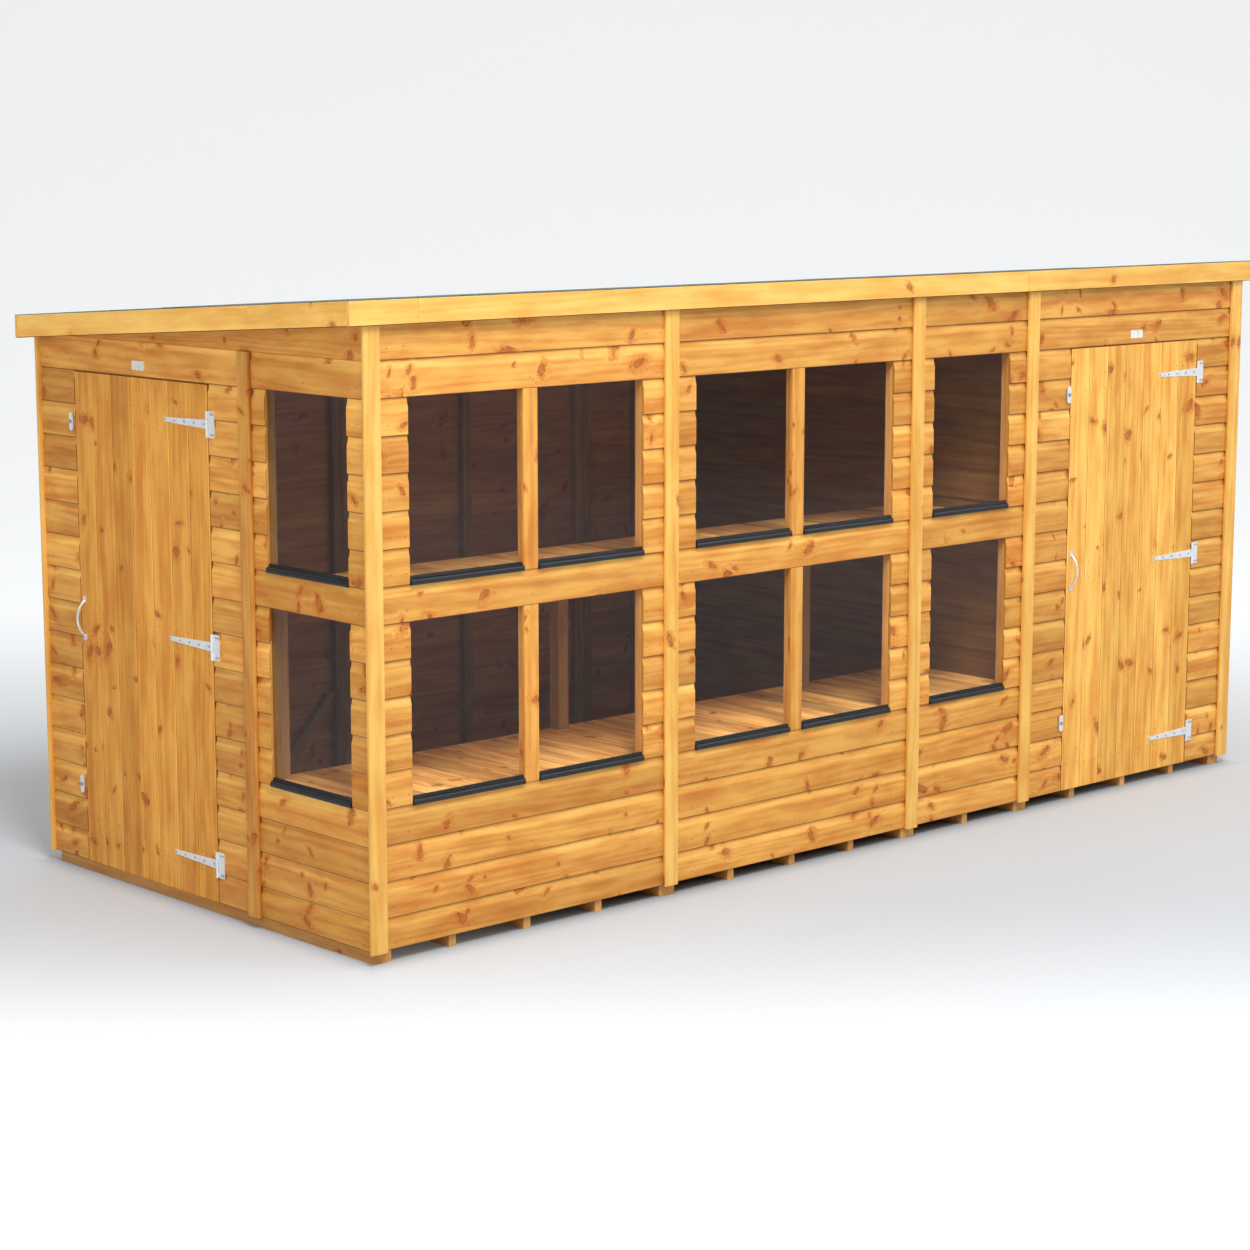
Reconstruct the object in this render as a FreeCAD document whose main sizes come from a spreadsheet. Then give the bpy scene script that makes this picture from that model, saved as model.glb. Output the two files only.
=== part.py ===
import FreeCAD, Part
import os
import Sketcher

# Potting shed: timber panels on a boarded floor, one-way sloping roof, two hinged doors, two-level bench.
# The frame has +Z up and the front wall facing -Y. The origin is under the middle of the whole shed.

doc = FreeCAD.newDocument("potting_shed")
sheet = doc.addObject("Spreadsheet::Sheet", "Sizes")


# Sizes that drive the shed, in millimetres
SIZES = [
    ("panel_wide", 1186, "width of a wide wall panel"),
    ("panel_narrow", 598, "width of a narrow wall panel"),
    ("clad_thk", 12, "thickness of a shiplap board"),
    ("frame_depth", 30, "depth of the wall framing"),
    ("partition_frame", 36, "depth of the cross wall framing"),
    ("panel_gap", 0.5, "free play at each end of a panel"),
    ("clad_bottom", 40, "lower edge of the wall boards"),
    ("first_course", 99, "face height of the lowest board"),
    ("course", 112, "face height of every other board"),
    ("lap", 8, "height of the lap between two boards"),
    ("lap_gap", 0.4, "play in the lap"),
    ("cove_height", 28, "height of the hollow along the top of a board"),
    ("cove_depth", 6, "depth of the hollow along the top of a board"),
    ("stud", 40, "width of a stud or rail"),
    ("brace_run", 345, "run of a corner brace along the wall"),
    ("joist_height", 45, "height of a floor joist"),
    ("joist_mid", 28, "width of a joist inside a floor panel"),
    ("joist_joint", 34, "width of a joist at a floor joint"),
    ("joist_end", 64, "width of a joist at an end of the floor"),
    ("floor_thk", 12, "thickness of the floor boards"),
    ("floor_gap", 0.6, "gap between floor boards"),
    ("window_margin_wide", 116, "wall on each side of a wide window"),
    ("window_margin_narrow", 93, "wall on each side of a narrow window"),
    ("glass_thk", 3, "thickness of a pane"),
    ("glass_lap", 8, "pane edge held in the frame"),
    ("glass_gap", 0.5, "play round a pane"),
    ("mullion_width", 59, "width of a mullion cover strip"),
    ("mullion_stud", 45, "width of the stud behind a mullion"),
    ("mullion_depth", 22, "depth of the stud behind a mullion"),
    ("sill_height", 25, "height of a drip sill"),
    ("sill_reach", 7, "how far a drip sill stands out of the wall"),
    ("sill_drip", 3, "how far a drip sill hangs below the window"),
    ("sill_play", 1.5, "gap at each end of a drip sill"),
    ("strip_width", 58, "width of a joint cover strip"),
    ("trim_width", 62, "width of a corner trim"),
    ("trim_over", 14, "how far a corner trim stands past the side wall"),
    ("strip_thk", 14, "thickness of strips and trims"),
    ("trim_drop", 4, "how far strips and trims hang below the boards"),
    ("door_margin", 205, "wall on each side of a door opening"),
    ("door_gap", 4, "gap round a door"),
    ("door_thk", 11.5, "thickness of the door boards"),
    ("door_vee", 2.5, "chamfer along a door board"),
    ("door_board_gap", 0.5, "gap between door boards"),
    ("stop_lap", 15, "how far the door frame stands behind the door"),
    ("ledge_height", 95, "height of a door ledge"),
    ("ledge_thk", 18, "thickness of a door ledge"),
    ("ledge_inset", 40, "door edge left free at each end of a ledge"),
    ("hinge_low", 166, "height of the lowest hinge"),
    ("hinge_pitch", 707, "height from one hinge to the next"),
    ("strap_length", 243, "length of a hinge strap"),
    ("strap_root", 30, "height of a hinge strap at its knuckle"),
    ("strap_tip", 14, "height of a hinge strap at its tip"),
    ("strap_thk", 2.5, "thickness of the hinge steel"),
    ("barrel_radius", 4.5, "outer radius of a hinge knuckle"),
    ("barrel_clear", 0.3, "gap between a knuckle and the wall"),
    ("knuckle_gap", 0.5, "gap between two knuckles"),
    ("pin_radius", 2.5, "radius of a hinge pin"),
    ("pin_clear", 0.05, "running clearance of a hinge pin"),
    ("pin_seat", 0.02, "clearance of a hinge pin in its fixed knuckles"),
    ("pin_end", 1, "how far a hinge pin stands out"),
    ("plate_width", 36, "width of the fixed hinge plate"),
    ("plate_height", 84, "height of the fixed hinge plate"),
    ("screw_head", 4, "radius of a screw head"),
    ("screw_rise", 1.8, "height of a screw head"),
    ("screw_shank", 2, "radius of a screw shank"),
    ("screw_clear", 0.1, "play of a screw in its hole"),
    ("screw_inset", 10, "screw distance from an edge of the hinge"),
    ("handle_middle", 877, "height of the middle of a handle"),
    ("handle_edge", 24, "handle distance from the edge of the door"),
    ("bow_radius", 76, "radius of the bow of a handle"),
    ("handle_rise", 35, "how far a handle stands out"),
    ("rod_radius", 4.5, "radius of the rod of a handle"),
    ("foot_width", 17, "width of a handle foot"),
    ("foot_length", 15, "length of a handle foot"),
    ("foot_thk", 3, "thickness of a handle foot"),
    ("button_low", 303, "height of the lower turn button"),
    ("button_high", 1536, "height of the upper turn button"),
    ("button_offset", 14, "turn button distance from the door opening"),
    ("tab_length", 62, "length of a turn button"),
    ("tab_width", 20, "width of a turn button"),
    ("tab_thk", 4, "thickness of a turn button"),
    ("tab_gap", 0.3, "play of a turn button on its pivot"),
    ("base_width", 22, "width of a turn button base"),
    ("base_height", 30, "height of a turn button base"),
    ("base_thk", 3.5, "thickness of a turn button base"),
    ("pivot_radius", 3, "radius of a turn button pivot"),
    ("pivot_head", 6.5, "radius of a turn button pivot head"),
    ("pivot_rise", 2.2, "height of a turn button pivot head"),
    ("blank_width", 72, "width of the blank plate above a door"),
    ("blank_height", 30, "height of the blank plate above a door"),
    ("blank_thk", 1, "thickness of the blank plate above a door"),
    ("blank_lift", 20, "blank plate distance above the door"),
    ("rafter_height", 50, "height of a rafter"),
    ("rafter_width", 34, "width of a rafter"),
    ("roof_board", 12, "thickness of a roof board"),
    ("roof_gap", 0.3, "play between roof pieces"),
    ("felt_thk", 2.5, "thickness of the roof felt"),
    ("fascia_height", 74, "height of a fascia"),
    ("fascia_thk", 14, "thickness of a fascia"),
    ("fascia_gap", 1, "gap between a fascia and the strips"),
    ("side_overhang", 75, "roof overhang beyond each side wall"),
    ("roof_split", 40, "roof joint distance from the cross wall"),
    ("side_split", 476, "joint of the side fascias behind the front wall"),
    ("wedge_start", 60, "distance of the wedge tip from the back"),
    ("bench_back", 568, "inner edge of the bench"),
    ("lower_top", 482, "height of the lower shelf"),
    ("upper_top", 1104, "height of the work top"),
    ("shelf_thk", 12, "thickness of the shelf boards"),
    ("shelf_gap", 1, "gap between shelf boards"),
    ("leg", 45, "width of a bench leg"),
    ("leg_gap", 0.5, "play round a bench leg"),
    ("bench_rail_height", 45, "height of a bench rail"),
    ("bench_rail_thk", 28, "thickness of a bench rail"),
]

# Numbers of like pieces, counted from the photograph
FRONT_COURSES = 17
SIDE_COURSES = 16
LOWER_SILL_SEAM = 4
LOWER_HEAD_SEAM = 9
UPPER_SILL_SEAM = 10
UPPER_HEAD_SEAM = 15
DOOR_BOARDS = 7
HINGES = 3
STRAP_SCREWS = 5
FLOOR_BOARDS = 16
ROOF_BOARDS = 17
SHELF_BOARDS = 26


class Dim:
    """A size that keeps its number together with the sheet formula that drives it."""

    def __init__(self, value, text):
        self.value = float(value)
        self.text = text

    def __add__(self, other):
        other = dim(other)
        return Dim(self.value + other.value, "(%s + %s)" % (self.text, other.text))

    def __sub__(self, other):
        other = dim(other)
        return Dim(self.value - other.value, "(%s - %s)" % (self.text, other.text))

    def __mul__(self, other):
        other = dim(other)
        return Dim(self.value * other.value, "(%s * %s)" % (self.text, other.text))

    def __truediv__(self, other):
        other = dim(other)
        return Dim(self.value / other.value, "(%s / %s)" % (self.text, other.text))

    def __neg__(self):
        return Dim(-self.value, "(0 - %s)" % self.text)

    def __radd__(self, other):
        return dim(other) + self

    def __rsub__(self, other):
        return dim(other) - self

    def __rmul__(self, other):
        return dim(other) * self

    def root(self):
        return Dim(self.value ** 0.5, "sqrt(%s)" % self.text)


def dim(number):
    if isinstance(number, Dim):
        return number
    return Dim(number, repr(number))


def fill_sheet():
    sizes = {}
    for row, (alias, value, note) in enumerate(SIZES, start=1):
        sheet.set("A%d" % row, note)
        sheet.set("B%d" % row, str(value))
        sheet.setAlias("B%d" % row, alias)
        sizes[alias] = Dim(value, "Sizes." + alias)
    doc.recompute()
    return sizes


S = fill_sheet()
ZERO = dim(0)
NODES = []


# Main lines of the shed, measured from the left outer face, the front outer face and the ground
WALL = S["clad_thk"] + S["frame_depth"]
PARTITION = S["clad_thk"] + S["partition_frame"]
JOINT_1 = WALL + S["panel_wide"]
JOINT_2 = JOINT_1 + S["panel_wide"]
CROSS_LEFT = JOINT_2 + S["panel_narrow"]
CROSS_RIGHT = CROSS_LEFT + PARTITION
LENGTH = CROSS_RIGHT + S["panel_wide"] + WALL
DEPTH = S["panel_narrow"] + S["panel_wide"]
FLOOR_TOP = S["joist_height"] + S["floor_thk"]
DOOR_OPENING = S["panel_wide"] - 2 * S["door_margin"]
ROOF_FRONT = S["strip_thk"] + S["fascia_gap"]
EAVES = ROOF_FRONT + S["fascia_thk"]
MIDDLE_X = LENGTH / 2
MIDDLE_Y = (DEPTH + EAVES - S["handle_rise"]) / 2


def seam(number):
    """Height of the upper edge of a course of boards."""
    return S["clad_bottom"] + S["first_course"] + (number - 1) * S["course"]


FRONT_TOP = seam(FRONT_COURSES)
SIDE_TOP = seam(SIDE_COURSES)
DOOR_HEAD = seam(UPPER_HEAD_SEAM)
SLOPE = (FRONT_TOP - SIDE_TOP) / (DEPTH - WALL)


def roof_under(back):
    """Height of the underside of the rafters at a distance behind the front face."""
    return FRONT_TOP + S["roof_gap"] + (WALL - back) * SLOPE


def roof_top(back):
    """Height of the upper side of the roof boards."""
    return roof_under(back) + S["rafter_height"] + S["roof_board"]


class Wall:
    """Place of a wall: along it to the right seen from outside, inward, and up."""

    COS = {0: 1, 90: 0, 180: -1, -90: 0}
    SIN = {0: 0, 90: 1, 180: 0, -90: -1}

    def __init__(self, x, y, angle):
        self.x = dim(x) - MIDDLE_X
        self.y = dim(y) - MIDDLE_Y
        self.angle = angle

    def place(self, item, along, inward, up, turn=None):
        cos = self.COS[self.angle]
        sin = self.SIN[self.angle]
        base = (self.x + cos * along - sin * inward, self.y + sin * along + cos * inward, dim(up))
        rotation = FreeCAD.Rotation(FreeCAD.Vector(0, 0, 1), self.angle)
        if turn is not None:
            rotation = rotation.multiply(turn)
        spot = FreeCAD.Vector(*[size.value for size in base])
        item.Placement = FreeCAD.Placement(spot, rotation)
        for axis, size in zip("xyz", base):
            item.setExpression("Placement.Base." + axis, size.text)
        return item


SITE = Wall(0, 0, 0)
LEFT = Wall(0, DEPTH, -90)
RIGHT = Wall(LENGTH, 0, 90)
BACK = Wall(LENGTH, DEPTH, 180)
CROSS = Wall(CROSS_LEFT, DEPTH, -90)

# Turns that lay a round piece along a wall or point it into the wall
ALONG = FreeCAD.Rotation(FreeCAD.Vector(0, 1, 0), 90)
INWARD = FreeCAD.Rotation(FreeCAD.Vector(1, 0, 0), -90)
UPRIGHT_WEDGE = FreeCAD.Rotation(FreeCAD.Vector(1, 0, 0), 90)


# Helpers that make bound objects
def bind(item, **sizes):
    for name, size in sizes.items():
        size = dim(size)
        setattr(item, name, size.value)
        item.setExpression(name, size.text)
    return item


def box(wall, along, inward, up, width, depth, height):
    item = doc.addObject("Part::Box", "board")
    bind(item, Length=width, Width=depth, Height=height)
    return wall.place(item, dim(along), dim(inward), dim(up))


def cylinder(wall, along, inward, up, radius, height, turn=None):
    item = doc.addObject("Part::Cylinder", "round")
    bind(item, Radius=radius, Height=height)
    return wall.place(item, dim(along), dim(inward), dim(up), turn)


def sloped(left, right, front, back, under, over, end_under=None):
    """A board across the slope of the roof, cut upright at its front and back."""
    item = doc.addObject("Part::Wedge", "sloped_board")
    low_back = end_under(back) if end_under else under(back)
    low_front = end_under(front) if end_under else under(front)
    bind(item, Xmin=ZERO, X2min=ZERO, Xmax=right - left, X2max=right - left, Ymin=ZERO, Ymax=back - front,
         Zmin=low_front, Zmax=over(front), Z2min=low_back, Z2max=over(back))
    return SITE.place(item, dim(left), dim(front), ZERO)


def group(label, members):
    item = doc.addObject("Part::Compound", label)
    item.Links = members
    return item


def fuse(label, members):
    item = doc.addObject("Part::MultiFuse", label)
    item.Shapes = members
    return item


def cut(label, base, tools):
    item = doc.addObject("Part::Cut", label)
    item.Base = base
    item.Tool = tools[0] if len(tools) == 1 else fuse(label + "_cutters", tools)
    return item


def node(label, item):
    item.Label = label
    NODES.append(item)
    return item


def origin_feature(body, role):
    return [feature for feature in body.Origin.OriginFeatures if feature.Role == role][0]


def tie(sketch, edge, point, across, up):
    """Fix one point of a sketch by its two distances from the sketch origin."""
    for kind, size in (("DistanceX", across), ("DistanceY", up)):
        number = sketch.addConstraint(Sketcher.Constraint(kind, -1, 1, edge, point, size.value))
        sketch.setExpression("Constraints[%d]" % number, size.text)


def outline(body, role, corners, hollows=()):
    """Closed sketch through the corners. An edge listed in hollows is an arc about a centre beside its end."""
    sketch = body.newObject("Sketcher::SketchObject", "outline")
    sketch.AttachmentSupport = [(origin_feature(body, role), "")]
    sketch.MapMode = "FlatFace"
    points = [FreeCAD.Vector(across.value, up.value, 0) for across, up in corners]
    count = len(points)
    for edge in range(count):
        start = points[edge]
        end = points[(edge + 1) % count]
        if edge in hollows:
            rise = end.y - start.y
            run = end.x - start.x
            radius = (run * run + rise * rise) / (2 * run)
            circle = Part.Circle(FreeCAD.Vector(end.x - radius, end.y, 0), FreeCAD.Vector(0, 0, 1), radius)
            sketch.addGeometry(Part.ArcOfCircle(circle, circle.parameter(start), circle.parameter(end)), False)
        else:
            sketch.addGeometry(Part.LineSegment(start, end), False)
    for edge in range(count):
        sketch.addConstraint(Sketcher.Constraint("Coincident", edge, 2, (edge + 1) % count, 1))
    for edge, (across, up) in enumerate(corners):
        tie(sketch, edge, 1, across, up)
    for edge in hollows:
        sketch.addConstraint(Sketcher.Constraint("Horizontal", edge, 3, edge, 2))
    return sketch


def pad(body, sketch, length):
    feature = body.newObject("PartDesign::Pad", "pad")
    feature.Profile = sketch
    bind(feature, Length=length)
    doc.recompute()
    return feature


def repeat(body, feature, role, pitch, count):
    pattern = body.newObject("PartDesign::LinearPattern", "row")
    pattern.Originals = [feature]
    pattern.Direction = (origin_feature(body, role), [""])
    pattern.Occurrences = count
    bind(pattern, Length=(count - 1) * pitch)
    body.Tip = pattern
    return pattern


# Shiplap boards of one wall panel, with openings cut through them
def cladding(label, wall, start, width, courses, openings=(), bottom=None):
    bottom = bottom or S["clad_bottom"]
    top = seam(courses)
    thk = S["clad_thk"]
    lip = S["cove_depth"] - S["lap_gap"]
    head = S["course"] + S["lap"] - S["lap_gap"]
    body = doc.addObject("PartDesign::Body", label + "_boards")
    corners = [(ZERO, ZERO), (ZERO, S["course"] - S["cove_height"]), (S["cove_depth"], S["course"]),
               (S["cove_depth"], head), (thk, head), (thk, S["lap"]), (lip, S["lap"]), (lip, ZERO)]
    profile = outline(body, "YZ_Plane", corners, hollows=[1])
    board = pad(body, profile, width - 2 * S["panel_gap"])
    repeat(body, board, "Z_Axis", S["course"], courses)
    wall.place(body, start + S["panel_gap"], ZERO, seam(0))
    tools = [box(wall, start, -thk, seam(0) - S["lap"], width, 3 * thk, bottom - seam(0) + S["lap"]),
             box(wall, start, -thk, top, width, 3 * thk, 2 * S["lap"])]
    for left, right, low, high in openings:
        tools.append(box(wall, start + left, -thk, low, right - left, 3 * thk, high - low))
    return cut(label + "_cut", body, tools)


# Frames
def upright(wall, along, low, high, depth=None):
    return box(wall, along, S["clad_thk"], low, S["stud"], depth or S["frame_depth"], high - low)


def rail(wall, along, low, width, depth=None):
    return box(wall, along, S["clad_thk"], low, width, depth or S["frame_depth"], S["stud"])


def ring(wall, start, width, top, depth=None):
    """Bottom rail, top rail and the two end studs of a panel frame."""
    left = start + S["panel_gap"]
    clear = width - 2 * S["panel_gap"]
    low = FLOOR_TOP + S["stud"]
    high = top - S["stud"]
    return [rail(wall, left, FLOOR_TOP, clear, depth), rail(wall, left, high, clear, depth),
            upright(wall, left, low, high, depth), upright(wall, left + clear - S["stud"], low, high, depth)]


def plain_frame(label, wall, start, width, top, depth=None, braced=False):
    low = FLOOR_TOP + S["stud"]
    high = top - S["stud"]
    members = ring(wall, start, width, top, depth)
    members.append(upright(wall, start + (width - S["stud"]) / 2, low, high, depth))
    if braced:
        members.append(brace(wall, start + S["panel_gap"] + S["stud"], low))
    return group(label, members)


def brace(wall, along, low):
    """Corner brace that leans to the end stud and stands on the bottom rail."""
    item = doc.addObject("Part::Wedge", "brace")
    run = S["brace_run"]
    bind(item, Xmin=run - S["stud"], Xmax=run, X2min=ZERO, X2max=S["stud"], Ymin=ZERO, Ymax=run,
         Zmin=-S["frame_depth"], Zmax=ZERO, Z2min=-S["frame_depth"], Z2max=ZERO)
    return wall.place(item, along, S["clad_thk"], low, UPRIGHT_WEDGE)


WINDOW_ROWS = ((seam(LOWER_SILL_SEAM), seam(LOWER_HEAD_SEAM)), (seam(UPPER_SILL_SEAM), seam(UPPER_HEAD_SEAM)))


def window_openings(width, margin):
    return [(margin, width - margin, low, high) for low, high in WINDOW_ROWS]


def pane_spans(width, margin, columns):
    """Left and right edges of the panes of one window row, with the held edges."""
    outer = margin - S["glass_lap"] + S["glass_gap"]
    if columns == 1:
        return [(outer, width - outer)]
    return [(outer, width / 2 - S["glass_gap"]), (width / 2 + S["glass_gap"], width - outer)]


def window_frame(label, wall, start, width, margin, top, columns):
    low = FLOOR_TOP + S["stud"]
    high = top - S["stud"]
    jamb_left = start + margin - S["stud"]
    jamb_right = start + width - margin
    inner = start + margin
    clear = width - 2 * margin
    middle = start + (width - S["stud"]) / 2
    members = ring(wall, start, width, top)
    members += [upright(wall, jamb_left, low, high), upright(wall, jamb_right, low, high)]
    for sill, head in WINDOW_ROWS:
        members.append(rail(wall, inner, sill - S["stud"], clear))
        members.append(rail(wall, inner, head, clear))
    members.append(upright(wall, middle, low, WINDOW_ROWS[0][0] - S["stud"]))
    rebate = S["glass_thk"] + 2 * S["glass_gap"]
    held = margin - S["glass_lap"]
    tools = []
    for sill, head in WINDOW_ROWS:
        tools.append(box(wall, start + held, ZERO, sill - S["glass_lap"], width - 2 * held,
                         S["clad_thk"] + rebate, head - sill + 2 * S["glass_lap"]))
    frame = cut(label + "_rebated", group(label + "_timber", members), tools)
    if columns == 1:
        return node(label, frame)
    mullions = [box(wall, start + (width - S["mullion_stud"]) / 2, S["clad_thk"] + rebate, sill,
                    S["mullion_stud"], S["mullion_depth"], head - sill) for sill, head in WINDOW_ROWS]
    return node(label, group(label + "_all", [frame] + mullions))


def panes(wall, start, width, margin, columns):
    made = []
    for sill, head in WINDOW_ROWS:
        low = sill - S["glass_lap"] + S["glass_gap"]
        high = head + S["glass_lap"] - S["glass_gap"]
        for left, right in pane_spans(width, margin, columns):
            made.append(box(wall, start + left, S["clad_thk"] + S["glass_gap"], low, right - left,
                            S["glass_thk"], high - low))
    return made


def drip_sill(wall, start, length, low):
    """Ribbed strip along the foot of a pane: two hollow steps down to a drip edge."""
    body = doc.addObject("PartDesign::Body", "drip_sill")
    back = S["clad_thk"] + S["glass_gap"] / 2
    reach = -S["sill_reach"]
    half = S["sill_height"] / 2
    step = (back + S["sill_reach"]) / 2
    lip = S["cove_depth"] - 2 * S["lap_gap"]
    corners = [(back, S["sill_height"]), (back, ZERO), (lip, ZERO), (lip, -S["sill_drip"]),
               (reach, -S["sill_drip"]), (reach, half - S["sill_drip"]), (reach + step, half),
               (reach + step, S["sill_height"] - S["sill_drip"])]
    profile = outline(body, "YZ_Plane", corners)
    pad(body, profile, length)
    return wall.place(body, start, ZERO, low)


def sills(wall, start, width, margin, columns):
    made = []
    play = S["sill_play"]
    for sill, head in WINDOW_ROWS:
        if columns == 1:
            made.append(drip_sill(wall, start + margin + play, width - 2 * margin - 2 * play, sill))
            continue
        length = width / 2 - margin - S["mullion_width"] / 2 - 2 * play
        made.append(drip_sill(wall, start + margin + play, length, sill))
        made.append(drip_sill(wall, start + (width + S["mullion_width"]) / 2 + play, length, sill))
    return made


def mullion_strips(wall, start, width):
    return [box(wall, start + (width - S["mullion_width"]) / 2, ZERO, sill, S["mullion_width"], S["clad_thk"],
                head - sill) for sill, head in WINDOW_ROWS]


def door_frame(label, wall, start, top):
    low = FLOOR_TOP + S["stud"]
    high = top - S["stud"]
    left = start + S["panel_gap"]
    right = start + S["panel_wide"] - S["panel_gap"]
    jamb_left = start + S["door_margin"] + S["stop_lap"] - S["stud"]
    jamb_right = start + S["panel_wide"] - S["door_margin"] - S["stop_lap"]
    head = DOOR_HEAD - S["stop_lap"]
    members = [rail(wall, left, high, right - left),
               rail(wall, left, FLOOR_TOP, jamb_left - left),
               rail(wall, jamb_right + S["stud"], FLOOR_TOP, right - jamb_right - S["stud"]),
               upright(wall, left, low, high),
               upright(wall, right - S["stud"], low, high),
               upright(wall, jamb_left, FLOOR_TOP, high),
               upright(wall, jamb_right, FLOOR_TOP, high),
               rail(wall, jamb_left + S["stud"], head, jamb_right - jamb_left - S["stud"])]
    return node(label, group(label + "_timber", members))


# Floor
FLOOR_PANELS = ((S["clad_thk"], JOINT_1), (JOINT_1, JOINT_2), (JOINT_2, CROSS_RIGHT - S["stud"] / 2),
                (CROSS_RIGHT - S["stud"] / 2, LENGTH - S["clad_thk"]))
FLOOR_MIDS = (3, 3, 1, 3)


def make_floor():
    front = S["clad_thk"]
    run = DEPTH - 2 * S["clad_thk"]
    joists = []
    boards = []
    pitch = run / FLOOR_BOARDS
    last = len(FLOOR_PANELS) - 1
    for number, (left, right) in enumerate(FLOOR_PANELS):
        first_width = S["joist_end"] if number == 0 else S["joist_joint"]
        last_width = S["joist_end"] if number == last else S["joist_joint"]
        near = left + S["panel_gap"]
        far = right - S["panel_gap"]
        joists.append(box(SITE, near, front, 0, first_width, run, S["joist_height"]))
        joists.append(box(SITE, far - last_width, front, 0, last_width, run, S["joist_height"]))
        for mid in range(1, FLOOR_MIDS[number] + 1):
            centre = near + (far - near) * mid / (FLOOR_MIDS[number] + 1)
            joists.append(box(SITE, centre - S["joist_mid"] / 2, front, 0, S["joist_mid"], run,
                              S["joist_height"]))
        for row in range(FLOOR_BOARDS):
            boards.append(box(SITE, near, front + row * pitch, S["joist_height"], far - near,
                              pitch - S["floor_gap"], S["floor_thk"]))
    node("floor_joists", group("floor_joists_all", joists))
    node("floor_boards", group("floor_boards_all", boards))


# Walls
def make_front_wall():
    wide = S["panel_wide"]
    narrow = S["panel_narrow"]
    glass = []
    strips = []
    dark_sills = []
    windows = ((WALL, wide, S["window_margin_wide"], 2), (JOINT_1, wide, S["window_margin_wide"], 2),
               (JOINT_2, narrow, S["window_margin_narrow"], 1))
    for number, (start, width, margin, columns) in enumerate(windows, start=1):
        window_frame("front_frame_%d" % number, SITE, start, width, margin, FRONT_TOP, columns)
        node("front_cladding_%d" % number, cladding("front_cladding_%d" % number, SITE, start, width,
                                                    FRONT_COURSES, window_openings(width, margin)))
        glass += panes(SITE, start, width, margin, columns)
        dark_sills += sills(SITE, start, width, margin, columns)
        if columns == 2:
            strips += mullion_strips(SITE, start, width)
    node("front_panes", group("front_panes_all", glass))
    node("mullion_strips", group("mullion_strips_all", strips))
    return dark_sills


def make_left_window():
    start = S["panel_wide"]
    width = S["panel_narrow"]
    margin = S["window_margin_narrow"]
    window_frame("left_window_frame", LEFT, start, width, margin, SIDE_TOP, 1)
    node("left_window_cladding", cladding("left_window_cladding", LEFT, start, width, SIDE_COURSES,
                                          window_openings(width, margin)))
    node("left_panes", group("left_panes_all", panes(LEFT, start, width, margin, 1)))
    return sills(LEFT, start, width, margin, 1)


def make_plain_walls():
    wide = S["panel_wide"]
    narrow = S["panel_narrow"]
    right_panels = ((ZERO, narrow), (narrow, wide))
    back_panels = ((WALL, wide, True), (LENGTH - CROSS_LEFT, narrow, False),
                   (LENGTH - JOINT_2, wide, True), (LENGTH - JOINT_1, wide, True))
    node("right_frame", group("right_frame_all", [
        plain_frame("right_panel_frame", RIGHT, start, width, SIDE_TOP) for start, width in right_panels]))
    node("right_cladding", group("right_cladding_all", [
        cladding("right_panel_boards", RIGHT, start, width, SIDE_COURSES) for start, width in right_panels]))
    node("back_frame", group("back_frame_all", [
        plain_frame("back_panel_frame", BACK, start, width, SIDE_TOP, braced=braced)
        for start, width, braced in back_panels]))
    node("back_cladding", group("back_cladding_all", [
        cladding("back_panel_boards", BACK, start, width, SIDE_COURSES) for start, width, braced in back_panels]))
    node("cross_frame", plain_frame("cross_frame_all", CROSS, ZERO, DEPTH, SIDE_TOP, S["partition_frame"]))
    node("cross_cladding", cladding("cross_cladding", CROSS, ZERO, DEPTH, SIDE_COURSES, bottom=FLOOR_TOP))


def make_wedges():
    thk = S["clad_thk"]

    def low(back):
        return SIDE_TOP + S["lap_gap"]

    for label, left in (("left_wedge", ZERO), ("cross_wedge", CROSS_LEFT), ("right_wedge", LENGTH - thk)):
        node(label, sloped(left, left + thk, ZERO, DEPTH - S["wedge_start"], low,
                           lambda back: roof_under(back) - S["roof_gap"]))


def make_trims():
    low = S["clad_bottom"] - S["trim_drop"]
    thk = S["strip_thk"]
    width = S["trim_width"]
    strip = S["strip_width"]
    front_height = FRONT_TOP - low
    side_height = SIDE_TOP - low
    back_height = roof_under(DEPTH + ROOF_FRONT) - S["roof_gap"] - low
    ends = (-S["trim_over"], LENGTH - width + S["trim_over"])
    corners = [box(SITE, end, -thk, low, width, thk, front_height) for end in ends]
    corners += [box(BACK, end, -thk, low, width, thk, back_height) for end in ends]
    joints = (JOINT_1, JOINT_2, (CROSS_LEFT + CROSS_RIGHT) / 2)
    front = [box(SITE, joint - strip / 2, -thk, low, strip, thk, front_height) for joint in joints]
    back = [box(BACK, LENGTH - joint - strip / 2, -thk, low, strip, thk, back_height) for joint in joints]
    left = box(LEFT, S["panel_wide"] - strip / 2, -thk, low, strip, thk, side_height)
    right = box(RIGHT, S["panel_narrow"] - strip / 2, -thk, low, strip, thk, side_height)
    node("corner_trims", group("corner_trims_all", corners))
    node("joint_strips", group("joint_strips_all", front + back + [left, right]))


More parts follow.
